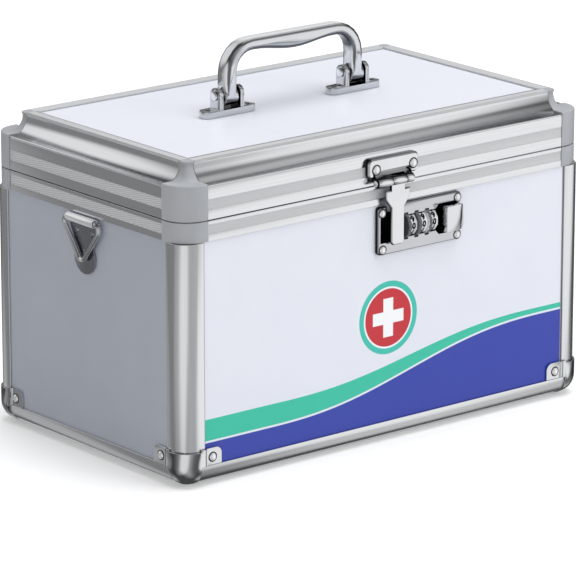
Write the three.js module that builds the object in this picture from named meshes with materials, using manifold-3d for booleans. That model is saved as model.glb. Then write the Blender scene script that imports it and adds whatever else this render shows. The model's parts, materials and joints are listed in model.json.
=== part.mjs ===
// Lockable medicine case: flat panels held in aluminium edge profiles, a hinged lid with a cove
// round its top, a folding handle, a combination lock with a hasp, two side rings and a lift-out
// tray. Millimetres, +Z up, the front towards -Y. The origin is on the ground, under the middle
// of the whole outline.
import * as THREE from "three";
import { mergeVertices, toCreasedNormals } from "three/addons/utils/BufferGeometryUtils.js";
import { RoundedBoxGeometry } from "three/addons/geometries/RoundedBoxGeometry.js";
import Module from "manifold-3d";

// Whole case
const caseWidth = 300;
const caseDepth = 179;
const bodyHeight = 153.8;
const seamGap = 0.6;
const fitGap = 0.2;
const overrun = 1;
const arcSteps = 6;
const roundSides = 16;
const wireSides = 8;

// Panels, and the profiles that hold their edges
const panelThickness = 3.2;
const panelSetback = 1;
const legThickness = 1;
const postFlange = 15.1;
const postRadius = 11;
const postSlotDepth = 4;
const railFlange = 10.8;
const railRadius = 9.5;
const railSlotDepth = 3;

// Foot corners
const footSheet = 1;
const footCapReach = 12.5;
const footCapHeight = 21;
const footSegments = 4;
const footEarReach = 27;
const footEarRise = 1.2;
const footEarRounding = 4;
const footBossPlace = 20.5;
const footBossRadius = 3;

// Rim round the mouth of the case
const rimHeight = 12;
const rimChannelDepth = 8;
const rimBandDrop = 2.5;
const rimBandHeight = 5.5;
const bandRecess = 0.3;
const ribThickness = 1.2;
const ribHeight = 4;
const cornerReach = 18;
const cornerRadius = 15;
const cornerProud = 0.3;

// Lid profile, from its face up over the bead and the cove to the flange round the panel
const lidFaceHeight = 19.1;
const lidWall = 1.4;
const lidFootHeight = 1.5;
const lidBandRise = 5.8;
const lidBandHeight = 5.8;
const grooveHeight = 0.5;
const grooveDepth = 0.4;
const beadRadius = 0.7;
const shoulderWidth = 2.2;
const coveRadius = 10.25;
const coveRise = 0.75;
const lipHeight = 1.4;
const lipOverhang = 0.5;
const flangeWidth = 7.3;
const flangeThickness = 1;
const ledgeWidth = 4.5;
const ledgeThickness = 1;
const lidPanelThickness = 3.2;
const lidPanelRounding = 2;
const shelfRounding = 0.8;

// Butt hinges at the back
const hingeInset = 65;
const hingeLength = 48;
const hingeMiddleLength = 17;
const hingePinProud = 2.9;
const hingePinRadius = 1.1;
const hingeKnuckleRadius = 2.6;
const hingeLeafThickness = 1.2;
const hingeBodyLeafDrop = 10.3;
const hingeLidLeafRise = 14;
const hingeLeafRounding = 3;

// Lock plate, its windows and the case behind the panel
const lockPlateLeft = -10.3;
const lockPlateHeight = 28.4;
const lockPlateTopGap = 0.9;
const lockPlateProud = 2;
const lockPlateSheet = 1;
const lockPlateWall = 1.2;
const lockPlateBridge = 1;
const lockPlateMargin = 1.7;
const lockPlateBevel = 0.8;
const lockPlateRounding = 2.2;
const hookSlotLeft = -8.8;
const hookSlotRight = 8;
const hookSlotRise = 7;
const hookSlotHeight = 15;
const hookSlotNeckLeft = -3.8;
const dialWindowClearance = 0.4;
const slideWindowHeight = 18.2;
const slideWindowChamfer = 3.2;
const lockCaseWall = 1;
const lockCaseRoom = 12.6;
const lockCaseHeight = 19;
const lockRibThickness = 1.2;
const lockRibRise = 3;

// Number dials on their axle
const dialCount = 3;
const dialFaces = 10;
const dialRadius = 8;
const dialBandRadius = 6.8;
const dialWidth = 7.2;
const dialFlangeWidth = 2.2;
const dialGap = 0.6;
const dialProud = 4.2;
const dialRise = 14.5;
const dialTeeth = 16;
const dialToothDepth = 0.45;
const dialAxleRadius = 1.5;
const springSheet = 0.3;
const springHeight = 13;
const springBow = 0.7;
const springSlit = 1.6;
const springGap = 0.3;

// Slide: the knob in front, the bolt behind the plate
const slideTravel = 3.5;
const slideSheet = 0.9;
const knobWidth = 15.3;
const knobHeight = 15.4;
const knobProud = 7.4;
const knobEdge = 3.6;
const knobBackGap = 0.4;
const knobLeftRounding = 0.8;
const knobRightRounding = 3.6;
const knobOverhang = 2.2;
const knobEndGap = 0.6;
const boltArmHeight = 4.2;
const boltArmGap = 0.5;
const boltNoseWidth = 3.5;
const boltNoseGap = 0.8;
const boltNoseHeight = 12.3;
const slideTabHeight = 24.3;

// Hasp: plate on the lid, knuckles, pin, flap and hook
const haspPlateWidth = 37.4;
const haspPlateRise = 4.7;
const haspPlateHeight = 11.9;
const haspPlateThickness = 3;
const haspPlateRounding = 3;
const haspPlateBevel = 1.1;
const haspNotchRise = 3.4;
const haspPinRise = 2.6;
const haspPinProud = 4.8;
const haspPinRadius = 1.1;
const haspPinHeadRadius = 1.8;
const haspPinHead = 0.7;
const knuckleRadius = 2.8;
const barrelLeft = -14.2;
const barrelRight = 12.1;
const knuckleMiddle = 10.1;
const knuckleGap = 0.3;
const knuckleSlotRise = 1.1;
const flapOffset = 1.6;
const pinClearance = 0.2;
const flapBack = 3.4;
const flapThickness = 2;
const flapBevel = 0.7;
const flapShoulderWidth = 18.2;
const flapShoulderDrop = 5.7;
const flapShoulderHeight = 5.1;
const flapTaperHeight = 5.3;
const tongueWidth = 9.8;
const flapLength = 38.2;
const tongueRounding = 2.4;
const hookWidth = 6;
const hookHeight = 5.5;
const hookWeb = 1.6;
const hookTip = 0.6;
const hookRise = 2.5;

// Folding handle and its brackets
const handleSpacing = 94;
const handleLegWidth = 8.6;
const handleBarShare = 0.86;
const handleDepth = 10.4;
const handleRounding = 2.9;
const handleBend = 15.5;
const handleRise = 27.6;
const handleBelly = 3;
const handleBellySpan = 60;
const handleLugDrop = 1.4;
const bracketLength = 38.4;
const bracketDepth = 9.4;
const bracketThickness = 4;
const earThickness = 3;
const earGap = 12;
const earDepth = 9;
const pinRise = 7.8;
const pinRadius = 2;
const pinHeadRadius = 2.8;
const pinHeadLength = 0.8;

// Side rings
const ringDrop = 2.7;
const ringWire = 1.6;
const ringTubeRadius = 2.55;
const ringTubeLength = 25;
const ringPlateThickness = 1.2;
const ringClearance = 0.3;
const ringSideRadius = 3.4;
const ringTipRadius = 4;
const ringTipDrop = 19.1;
const ringShoulderReach = 16;
const ringWireGap = 0.8;
const ringPlateWidth = 27;
const ringPlateShoulder = 4;
const ringWaistShare = 0.62;
const ringBoreClearance = 0.25;
const ringLobeRadius = 9.8;
const ringLobeDrop = 22.3;

// Lift-out tray
const trayInset = 15;
const trayHeight = 36;
const trayRim = 1.6;
const trayWall = 1.8;
const trayDraftShare = 0.97;
const trayRounding = 7;
const trayRimRounding = 18;
const trayBackShare = 0.42;
const trayPockets = 3;

// Finishes
const finish = (color, roughness, metalness) =>
  new THREE.MeshStandardMaterial({ color, roughness, metalness });
const boardWhite = () => finish(0xe6e9f2, 0.4, 0);
const boardSilver = () => finish(0xa9adb5, 0.45, 0.1);
const aluminium = () => finish(0xc9cbce, 0.35, 0.9);
const mouldingGrey = () => finish(0xa0a4a8, 0.55, 0.1);
const chrome = () => finish(0xd8dadd, 0.15, 1);
const steel = () => finish(0x8d8f93, 0.35, 1);
const lockBlack = () => finish(0x1b1c1e, 0.5, 0.3);
const trayPlastic = () => finish(0xe8ecef, 0.5, 0);

// Derived places
const footProud = footSheet + fitGap;
const rimBottom = bodyHeight - rimHeight;
const rimTop = bodyHeight - seamGap / 2;
const channelTop = rimBottom + rimChannelDepth;
const skin = panelSetback - fitGap;
const legFace = panelSetback + panelThickness + fitGap;
const legBack = legFace + legThickness;
const railTop = footProud + railFlange;
const lidBottom = bodyHeight + seamGap / 2;
const faceTop = lidBottom + lidFaceHeight;
const coveMiddle = faceTop + coveRadius;
const coveEdge = shoulderWidth + coveRadius;
const lidTop = coveMiddle + coveRise + lipHeight;
const lipEdge = coveEdge - lipOverhang;
const flangeEdge = lipEdge + flangeWidth;
const slotBack = coveEdge + lidWall;
const flangeUnder = lidTop - flangeThickness;
const lidPanelTop = flangeUnder - fitGap;
const lidPanelBottom = lidPanelTop - lidPanelThickness;
const ledgeTop = lidPanelBottom - fitGap;
const ledgeBottom = ledgeTop - ledgeThickness;
const lockTop = rimBottom - lockPlateTopGap;
const lockBottom = lockTop - lockPlateHeight;
const lockMiddle = lockBottom + dialRise;
const plateFront = -lockPlateProud;
const plateInner = plateFront + lockPlateSheet;
const dialPitch = dialWidth + dialGap;
const dialFirstLeft = hookSlotRight + lockPlateBridge + dialWindowClearance;
const dialsRight = dialFirstLeft + dialCount * dialPitch - dialGap;
const axleDepth = plateFront - dialProud + dialRadius;
const haspPinZ = bodyHeight + haspPinRise;
const handlePinZ = lidPanelTop + fitGap + bracketThickness + pinRise;
const ringZ = rimBottom - ringDrop;
const ringProud = ringPlateThickness + fitGap + ringClearance + ringWire - panelSetback;
const panelBottom = footProud + railFlange - railSlotDepth + fitGap;
const panelTop = channelTop - fitGap;
const haspReach = haspPinProud + knuckleRadius;
const lockCaseFront = skin - springGap;
const lockCaseLeft = hookSlotLeft - fitGap;
const lockCaseBottom = lockMiddle - lockCaseHeight / 2;
const lockCaseTop = lockMiddle + lockCaseHeight / 2;
const lockCaseInner = axleDepth + dialRadius + 2 * springGap + springBow + springSheet;
const ribLeft = dialFirstLeft - dialGap - lockRibThickness;
const slideFront = plateInner + fitGap;
const slideBack = slideFront + slideSheet;
const knobLeft = dialsRight + 2 * knobEndGap + slideTravel;
const knobRight = knobLeft + knobWidth;
const stemLeft = knobLeft + knobOverhang / 2;
const stemRight = knobRight - knobOverhang;
const slideWindowRight = stemRight + knobEndGap;
const lockPlateRight = slideWindowRight + lockPlateMargin;
const lockCaseRight = dialsRight + dialGap + lockRibThickness + lockCaseRoom;
const trayBottom = bodyHeight + ribHeight + fitGap + trayRim - trayHeight;
const frontReach = Math.max(haspReach, knobProud, lockPlateProud + dialProud);
const backReach = hingePinProud + hingeKnuckleRadius;

const wasm = await Module();
wasm.setup();

// A closed three.js geometry as a solid, so that it can be joined and cut.
function solid(geometry) {
  const bare = new THREE.BufferGeometry();
  bare.setAttribute("position", geometry.getAttribute("position"));
  if (geometry.index) bare.setIndex(geometry.index);
  const merged = mergeVertices(bare);
  return new wasm.Manifold(
    new wasm.Mesh({
      numProp: 3,
      vertProperties: new Float32Array(merged.attributes.position.array),
      triVerts: new Uint32Array(merged.index.array),
    }),
  );
}

// A solid as a three.js geometry again, shaded smoothly except over its sharp edges.
function geometryOf(made) {
  const { vertProperties, triVerts } = made.getMesh();
  const bare = new THREE.BufferGeometry()
    .setAttribute("position", new THREE.BufferAttribute(vertProperties, 3))
    .setIndex(new THREE.BufferAttribute(triVerts, 1));
  return toCreasedNormals(bare);
}

// Outlines
const quarter = Math.PI / 2;

// Points along an arc round a middle, from one angle to another.
function arc(x, y, radius, from, to, steps = arcSteps) {
  return Array.from({ length: steps + 1 }, (_, i) => {
    const angle = from + ((to - from) * i) / steps;
    return [x + radius * Math.cos(angle), y + radius * Math.sin(angle)];
  });
}

// A circle.
function round(x, y, radius, sides = roundSides) {
  return arc(x, y, radius, 0, 4 * quarter, sides).slice(1);
}

// A rectangle whose corners, from the lower left one round, have one radius or a radius each.
function rectangle(left, bottom, right, top, radii = 0, steps = arcSteps) {
  const inward = [
    [left, bottom, 1, 1],
    [right, bottom, -1, 1],
    [right, top, -1, -1],
    [left, top, 1, -1],
  ];
  return inward.flatMap(([x, y, toX, toY], i) => {
    const radius = Array.isArray(radii) ? radii[i] : radii;
    if (radius === 0) return [[x, y]];
    const start = (i + 2) * quarter;
    return arc(x + toX * radius, y + toY * radius, radius, start, start + quarter, steps);
  });
}

const swapped = (outline) => outline.map(([a, b]) => [b, a]);

// Solids
const unitX = new THREE.Vector3(1, 0, 0);
const unitY = new THREE.Vector3(0, 1, 0);
const unitZ = new THREE.Vector3(0, 0, 1);
const laid = {
  x: (from) => new THREE.Matrix4().makeBasis(unitY, unitZ, unitX).setPosition(from, 0, 0),
  y: (from, to) =>
    new THREE.Matrix4().makeBasis(unitX, unitZ, unitY.clone().negate()).setPosition(0, to, 0),
  z: (from) => new THREE.Matrix4().setPosition(0, 0, from),
};

function extrusion(outline, depth, steps, bevel) {
  const shape = new THREE.Shape(outline.map(([a, b]) => new THREE.Vector2(a, b)));
  return new THREE.ExtrudeGeometry(shape, {
    depth,
    steps,
    bevelEnabled: bevel > 0,
    bevelThickness: bevel,
    bevelSize: bevel,
    bevelOffset: -bevel,
    bevelSegments: 1,
  });
}

// An outline carried along an axis from one place to another. It is drawn in (y, z) for x,
// in (x, z) for y and in (x, y) for z.
function prism(axis, outline, from, to) {
  return solid(extrusion(outline, to - from, 1, 0).applyMatrix4(laid[axis](from, to)));
}

// A plate facing the front with its front edge bevelled. The bevel at the back is cut away.
function facePlate(outline, front, back, bevel) {
  const end = back + overrun;
  const whole = extrusion(outline, end - bevel - front, 1, bevel).applyMatrix4(laid.y(0, end));
  return solid(whole).subtract(box([-caseWidth, caseWidth], [back, caseDepth], [0, 2 * lidTop]));
}

// A box between two places along each axis.
function box(...spans) {
  const size = spans.map(([from, to]) => to - from);
  const middle = spans.map(([from, to]) => (from + to) / 2);
  return solid(new THREE.BoxGeometry(...size).translate(...middle));
}

// An outline carried through frames, one after the other. Its points can be moved at each.
function sweep(outline, frames, move = () => {}) {
  const last = frames.length - 1;
  const geometry = extrusion(outline, last, last, 0);
  const places = geometry.getAttribute("position");
  const place = new THREE.Vector3();
  for (let i = 0; i < places.count; i++) {
    place.fromBufferAttribute(places, i);
    const frame = Math.round(place.z);
    place.setZ(0);
    move(place, frame);
    place.applyMatrix4(frames[frame]);
    places.setXYZ(i, place.x, place.y, place.z);
  }
  return solid(geometry);
}

// A block of an outline that narrows towards its bottom by a share of its size.
function drafted(outline, bottom, top, share) {
  const shape = new THREE.Shape(outline.map(([a, b]) => new THREE.Vector2(a, b)));
  const middle = new THREE.Box2().setFromPoints(shape.getPoints()).getCenter(new THREE.Vector2());
  const frames = [
    [bottom, share],
    [top, 1],
  ].map(([z, size]) =>
    new THREE.Matrix4()
      .makeScale(size, size, 1)
      .setPosition(middle.x * (1 - size), middle.y * (1 - size), z),
  );
  return sweep(outline, frames);
}

// Edge profiles: an L round the outside of a corner, with a slot at each end for a panel.
function edgeProfile(flange, radius, slotDepth) {
  const seat = flange - slotDepth;
  const half = [
    [flange, 0],
    [flange, skin],
    [seat, skin],
    [seat, legFace],
    [flange, legFace],
    [flange, legBack],
    [legBack, legBack],
  ];
  const other = swapped(half.slice(0, -1)).reverse();
  return [...half, ...other, ...arc(radius, radius, radius, 2 * quarter, 3 * quarter)];
}

function cornerPost() {
  const outline = edgeProfile(postFlange, postRadius, postSlotDepth);
  return prism("z", outline, railTop + fitGap, rimBottom - fitGap);
}

function bottomRail(length) {
  const outline = edgeProfile(railFlange, railRadius, railSlotDepth);
  const half = length / 2 - footCapReach - fitGap;
  return prism(
    "x",
    outline.map(([y, z]) => [y, z + footProud]),
    -half,
    half,
  );
}

// Panels
function sidePanel(length) {
  const half = length / 2 - postFlange + postSlotDepth - fitGap;
  const upperHalf = length / 2 - cornerReach - fitGap;
  const step = rimBottom - fitGap;
  const outline = [
    [-half, panelBottom],
    [half, panelBottom],
    [half, step],
    [upperHalf, step],
    [upperHalf, panelTop],
    [-upperHalf, panelTop],
    [-upperHalf, step],
    [-half, step],
  ];
  return prism("y", outline, panelSetback, panelSetback + panelThickness);
}

function frontPanel() {
  const around = rectangle(
    lockCaseLeft - fitGap,
    lockCaseBottom - fitGap,
    lockCaseRight + fitGap,
    lockCaseTop + fitGap,
  );
  return sidePanel(caseWidth).subtract(prism("y", around, -overrun, legBack + overrun));
}

function bottomPanel() {
  const inset = railFlange - railSlotDepth + fitGap;
  const x = caseWidth / 2 - inset;
  const y = caseDepth / 2 - inset;
  const under = footProud + panelSetback;
  return prism("z", rectangle(-x, -y, x, y), under, under + panelThickness);
}

// Foot corners: a rounded cap over three edges, and an ear on each side that steps from the
// post down to the panel.
function footBlock(proud) {
  const radius = postRadius + proud;
  const size = 2 * (footCapHeight + radius);
  const place = size / 2 - proud;
  const block = new RoundedBoxGeometry(size, size, size, footSegments, radius);
  return solid(block.translate(place, place, place + footProud));
}

function footEar(turned) {
  const stepInner = postFlange + fitGap;
  const stepOuter = stepInner + footSheet;
  const start = footCapReach - footSheet / 2;
  const top = footCapHeight + footEarRise;
  const plan = [
    [start, -footProud],
    [stepOuter, -footProud],
    [stepOuter, -fitGap],
    [footEarReach, -fitGap],
    [footEarReach, skin],
    [stepInner, skin],
    [stepInner, -fitGap],
    [start, -fitGap],
  ];
  const face = rectangle(0, railTop + fitGap, footEarReach, top, [0, 0, footEarRounding, 0]);
  const standing = prism("z", turned ? swapped(plan) : plan, 0, top + overrun);
  return standing.intersect(prism(turned ? "x" : "y", face, -footCapReach, footCapReach));
}

// The third ear is what the case stands on, with a boss up to the bottom panel.
function footPad() {
  const start = footCapReach - footSheet / 2;
  const outline = rectangle(start, start, footEarReach, footEarReach, [0, 0, footEarRounding, 0]);
  const boss = round(footBossPlace, footBossPlace, footBossRadius, roundSides / 2);
  return prism("z", outline, 0, footSheet).add(
    prism("z", boss, footSheet / 2, footProud + panelSetback - fitGap),
  );
}

function footCorner() {
  const reach = [-overrun - footProud, footCapReach];
  const cap = footBlock(footProud)
    .subtract(footBlock(fitGap))
    .intersect(box(reach, reach, [-overrun, footCapHeight]));
  return cap.add(footEar(false)).add(footEar(true)).add(footPad());
}

// Rim of the case: a channel over the panel with a rib that the lid drops round. The corner
// mouldings stand a little proud of it.
const ribTop = bodyHeight + ribHeight;
const ribFace = legBack - ribThickness;
const rimInside = [
  [legBack, rimBottom],
  [legBack, ribTop],
  [ribFace, ribTop],
  [ribFace, rimTop],
];

// The face of a rail between two heights, with a flat band sunk in it.
const banded = (bottom, top) => [
  [0, top],
  [bandRecess, top],
  [bandRecess, bottom],
  [0, bottom],
];

function rimRail(length) {
  const half = length / 2 - cornerReach - fitGap;
  const bandTop = bodyHeight - rimBandDrop;
  const outline = [
    [0, rimBottom],
    [skin, rimBottom],
    [skin, channelTop],
    [legFace, channelTop],
    [legFace, rimBottom],
    ...rimInside,
    [0, rimTop],
    ...banded(bandTop - rimBandHeight, bandTop),
  ];
  return prism("x", outline, -half, half);
}

// Frames that lead a section round a corner of the case, with a straight at each end. The
// section's first axis points in from the face.
function cornerFrames() {
  const angles = arc(0, 0, 1, quarter, 0);
  const frame = (inX, inY, x, y) =>
    new THREE.Matrix4()
      .makeBasis(new THREE.Vector3(inX, inY, 0), unitZ, new THREE.Vector3(inY, -inX, 0))
      .setPosition(x, y, 0);
  return [
    frame(1, 0, 0, cornerReach),
    ...angles.map(([cos, sin]) =>
      frame(sin, cos, cornerRadius * (1 - sin), cornerRadius * (1 - cos)),
    ),
    frame(0, 1, cornerReach, 0),
  ];
}

function rimCorner() {
  return sweep(
    [[-cornerProud, rimBottom], ...rimInside, [-cornerProud, rimTop]],
    cornerFrames(),
  );
}

// Lid: its section rises over the bead and the cove to a lip, a slot for the panel and a ledge.
const angleAt = (z, radius) => Math.asin((z - coveMiddle) / radius);
const coveArc = (radius, from, to) => arc(shoulderWidth, coveMiddle, radius, from, to);
const coveTop = coveMiddle + coveRise;
const coveBack = coveRadius + lidWall;
const lidInside = [
  ...coveArc(coveBack, angleAt(ledgeBottom, coveBack), -quarter),
  [lidWall, coveMiddle - coveBack],
  [lidWall, lidBottom + lidFootHeight],
  [ribFace - fitGap, lidBottom + lidFootHeight],
  [ribFace - fitGap, lidBottom],
];

function lidRail(length) {
  const start = cornerReach + fitGap;
  const half = length / 2 - start;
  const bandBottom = lidBottom + lidBandRise;
  const groove = faceTop - grooveHeight;
  const section = [
    [0, lidBottom],
    ...banded(bandBottom, bandBottom + lidBandHeight).reverse(),
    [0, groove],
    [grooveDepth, groove],
    [grooveDepth, faceTop],
    ...arc(beadRadius, faceTop, beadRadius, 2 * quarter, 0),
    ...coveArc(coveRadius, -quarter, 0),
    [coveEdge, coveTop],
    [lipEdge, coveTop],
    [lipEdge, lidTop],
    [flangeEdge, lidTop],
    [flangeEdge, flangeUnder],
    [slotBack, flangeUnder],
    [slotBack, ledgeTop],
    [slotBack + ledgeWidth, ledgeTop],
    [slotBack + ledgeWidth, ledgeBottom],
    ...lidInside,
  ];
  const mitred = [
    [-half, -overrun],
    [half, -overrun],
    [half, start - fitGap],
    [half - flangeWidth, start - fitGap + flangeWidth],
    [flangeWidth - half, start - fitGap + flangeWidth],
    [-half, start - fitGap],
  ];
  return prism("x", section, -half - overrun, half + overrun).intersect(
    prism("z", mitred, 0, lidTop + overrun),
  );
}

function lidCorner() {
  const shelf = faceTop + 2 * beadRadius;
  const rounding = [shelfRounding - cornerProud, shelf - shelfRounding];
  const section = [
    [-cornerProud, lidBottom],
    ...arc(...rounding, shelfRounding, 2 * quarter, quarter),
    ...coveArc(coveRadius, angleAt(shelf, coveRadius), 0),
    [coveEdge, coveTop],
    [lipEdge, coveTop],
    [lipEdge, lidTop],
    [slotBack, lidTop],
    [slotBack, ledgeBottom],
    ...lidInside,
  ];
  const inner = (coveEdge + slotBack) / 2;
  const plan = rectangle(inner, inner, cornerReach, cornerReach, [cornerRadius - inner, 0, 0, 0]);
  return sweep(section, cornerFrames())
    .add(prism("z", plan, flangeUnder, lidTop))
    .add(prism("z", plan, ledgeBottom, ledgeTop));
}

function lidPanel() {
  const x = caseWidth / 2 - slotBack - fitGap;
  const y = caseDepth / 2 - slotBack - fitGap;
  return prism("z", rectangle(-x, -y, x, y, lidPanelRounding), lidPanelBottom, lidPanelTop);
}

// Butt hinges: two knuckles and the pin on the case, the middle knuckle on the lid.
const hingeHalf = hingeLength / 2;
const hingeAxis = [-hingePinProud, bodyHeight];
const hingeLeafSpan = [-fitGap - hingeLeafThickness, -fitGap];

function knuckle(from, to) {
  return prism("x", round(...hingeAxis, hingeKnuckleRadius), from, to);
}

function hingeLeafBody() {
  const opening = (hingeMiddleLength + knuckleGap) / 2;
  const clear = hingeKnuckleRadius + knuckleGap;
  const radii = [hingeLeafRounding, hingeLeafRounding, 0, 0];
  const low = bodyHeight - hingeBodyLeafDrop;
  const leaf = prism("y", rectangle(-hingeHalf, low, hingeHalf, bodyHeight, radii), ...hingeLeafSpan);
  return leaf
    .add(knuckle(-hingeHalf, hingeHalf))
    .subtract(box([-opening, opening], [-caseDepth, caseDepth], [bodyHeight - clear, lidTop]))
    .add(prism("x", round(...hingeAxis, hingePinRadius), -hingeHalf, hingeHalf));
}

function hingeLeafLid() {
  const middle = (hingeMiddleLength - knuckleGap) / 2;
  const clear = hingeKnuckleRadius + knuckleGap;
  const radii = [0, 0, hingeLeafRounding, hingeLeafRounding];
  const top = bodyHeight + hingeLidLeafRise;
  const bore = round(...hingeAxis, hingePinRadius + pinClearance);
  const leaf = prism(
    "y",
    rectangle(-hingeHalf, bodyHeight + clear, hingeHalf, top, radii),
    ...hingeLeafSpan,
  );
  return leaf
    .add(box([-middle, middle], hingeLeafSpan, [bodyHeight, bodyHeight + clear + overrun]))
    .add(knuckle(-middle, middle))
    .subtract(prism("x", bore, -hingeHalf, hingeHalf));
}

// Half the height of the window that a dial of some radius needs where it passes the plate.
function dialReach(radius) {
  return Math.sqrt(radius ** 2 - (axleDepth - plateInner) ** 2) + dialWindowClearance;
}

// The window's edge above or below the dials, stepped in beside each number band.
function dialEdge(side) {
  return Array.from({ length: dialCount }, (_, i) => {
    const left = dialFirstLeft + i * dialPitch;
    const step = left + dialFlangeWidth + dialWindowClearance;
    const flangeAt = lockMiddle + side * dialReach(dialRadius);
    const bandAt = lockMiddle + side * dialReach(dialBandRadius);
    return [
      [left - dialWindowClearance, flangeAt],
      [step, flangeAt],
      [step, bandAt],
      [left + dialPitch - dialWindowClearance, bandAt],
    ];
  }).flat();
}

// Lock plate: a shallow tray, open to the back, with a slot for the hook that runs out through
// its top edge, a window for the dials and an eight-sided window for the knob's stem.
function lockPlate() {
  const inset = (by) =>
    rectangle(
      lockPlateLeft + by,
      lockBottom + by,
      lockPlateRight - by,
      lockTop - by,
      lockPlateRounding - by / 2,
    );
  const slotTop = lockBottom + hookSlotRise + hookSlotHeight;
  const slot = [
    [hookSlotLeft, lockBottom + hookSlotRise],
    [hookSlotRight, lockBottom + hookSlotRise],
    [hookSlotRight, lockTop + overrun],
    [hookSlotNeckLeft, lockTop + overrun],
    [hookSlotNeckLeft, slotTop],
    [hookSlotLeft, slotTop],
  ];
  const windowHalf = slideWindowHeight / 2;
  const dials = [...dialEdge(-1), ...dialEdge(1).reverse()];
  const stem = rectangle(
    dialsRight + dialWindowClearance - overrun / 2,
    lockMiddle - windowHalf,
    slideWindowRight,
    lockMiddle + windowHalf,
    slideWindowChamfer,
    1,
  );
  const through = [slot, dials, stem].map((outline) =>
    prism("y", outline, plateFront - overrun, plateInner + overrun),
  );
  const throughTop = box(
    [hookSlotNeckLeft, hookSlotRight],
    [plateInner, skin + overrun],
    [lockTop - 2 * lockPlateWall, lockTop + overrun],
  );
  return [...through, throughTop].reduce(
    (made, cut) => made.subtract(cut),
    facePlate(inset(0), plateFront, skin, lockPlateBevel).subtract(
      prism("y", inset(lockPlateWall), plateInner, skin + overrun),
    ),
  );
}

// Lock case: an open-fronted box through the panel, with two notched posts for the axle.
function lockCase() {
  const back = lockCaseInner + lockCaseWall;
  const outer = rectangle(lockCaseLeft, lockCaseBottom, lockCaseRight, lockCaseTop);
  const inner = rectangle(
    lockCaseLeft + lockCaseWall,
    lockCaseBottom + lockCaseWall,
    lockCaseRight - lockCaseWall,
    lockCaseTop - lockCaseWall,
  );
  const reach = dialAxleRadius + lockRibRise;
  const notch = dialAxleRadius + fitGap;
  const rib = (left) =>
    box(
      [left, left + lockRibThickness],
      [lockCaseFront, back],
      [lockMiddle - reach, lockMiddle + reach],
    );
  const axleWay = prism("x", round(axleDepth, lockMiddle, notch), lockCaseLeft, lockCaseRight);
  const mouth = box(
    [lockCaseLeft, lockCaseRight],
    [-overrun, axleDepth],
    [lockMiddle - notch, lockMiddle + notch],
  );
  const hollow = prism("y", inner, -overrun, lockCaseInner);
  const ribs = rib(ribLeft).add(rib(dialsRight + dialGap)).subtract(axleWay).subtract(mouth);
  return prism("y", outer, lockCaseFront, back).subtract(hollow).add(ribs);
}

function dialAxle() {
  const right = dialsRight + dialGap + lockRibThickness;
  return prism("x", round(axleDepth, lockMiddle, dialAxleRadius), ribLeft - fitGap, right + fitGap);
}

// Dial: a toothed flange to turn it by, a band with a flat for each number, and its bore.
// It is drawn round its own axis, from its left face.
function dial() {
  const tooth = (4 * quarter) / dialTeeth;
  const rootRadius = dialRadius - dialToothDepth;
  const outline = Array.from({ length: dialTeeth }, (_, i) => [
    ...arc(0, 0, dialRadius, i * tooth, (i + 1 / 2) * tooth, 1),
    ...arc(0, 0, rootRadius, (i + 2 / 3) * tooth, (i + 5 / 6) * tooth, 1),
  ]).flat();
  const face = (4 * quarter) / dialFaces;
  const band = arc(0, 0, dialBandRadius, face / 2, 4 * quarter - face / 2, dialFaces - 1);
  const bore = round(0, 0, dialAxleRadius + pinClearance);
  return prism("x", outline, 0, dialFlangeWidth)
    .add(prism("x", band, dialFlangeWidth / 2, dialWidth))
    .subtract(prism("x", bore, -overrun, dialWidth + overrun));
}

// Spring: a bowed leaf, slit into a finger for each dial.
function dialSpring() {
  const half = springHeight / 2;
  const radius = (half ** 2 + springBow ** 2) / (2 * springBow);
  const lean = Math.asin(half / radius);
  const front = axleDepth + dialRadius + springGap;
  const bowed = (offset, from, to) =>
    arc(front + radius, lockMiddle, radius - offset, 2 * quarter + from, 2 * quarter + to);
  const leaf = [...bowed(0, -lean, lean), ...bowed(springSheet, lean, -lean)];
  const slits = Array.from({ length: dialCount - 1 }, (_, i) => {
    const middle = dialFirstLeft + (i + 1) * dialPitch - dialGap / 2;
    return box(
      [middle - springSlit / 2, middle + springSlit / 2],
      [0, caseDepth],
      [lockMiddle - half + springSlit, lockMiddle + half - springSlit],
    );
  });
  return slits.reduce(
    (made, slit) => made.subtract(slit),
    prism("x", leaf, dialFirstLeft, dialsRight),
  );
}

// Knob: steep on the left, where a finger pulls it, and crowned down to its right end.
function slideKnob() {
  const halfHeight = knobHeight / 2;
  const back = plateFront - knobBackGap;
  const rounding = [knobLeftRounding, knobRightRounding, knobRightRounding, knobLeftRounding];
  const face = rectangle(
    knobLeft,
    lockMiddle - halfHeight,
    knobRight,
    lockMiddle + halfHeight,
    rounding,
  );
  const crown = arc(0, 0, 1, quarter, 0).map(([cos, sin]) => [
    knobLeft + knobWidth * cos,
    -knobEdge - (knobProud - knobEdge) * sin,
  ]);
  const plan = [[knobLeft, back], [knobRight, back], ...crown.reverse()];
  const stem = box(
    [stemLeft, stemRight],
    [back - overrun / 2, slideFront + slideSheet / 2],
    [lockMiddle - halfHeight + knobOverhang, lockMiddle + halfHeight - knobOverhang],
  );
  const reach = [lockBottom, lockTop];
  return prism("y", face, -knobProud - overrun, back + overrun)
    .intersect(prism("z", plan, ...reach))
    .add(stem);
}

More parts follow.
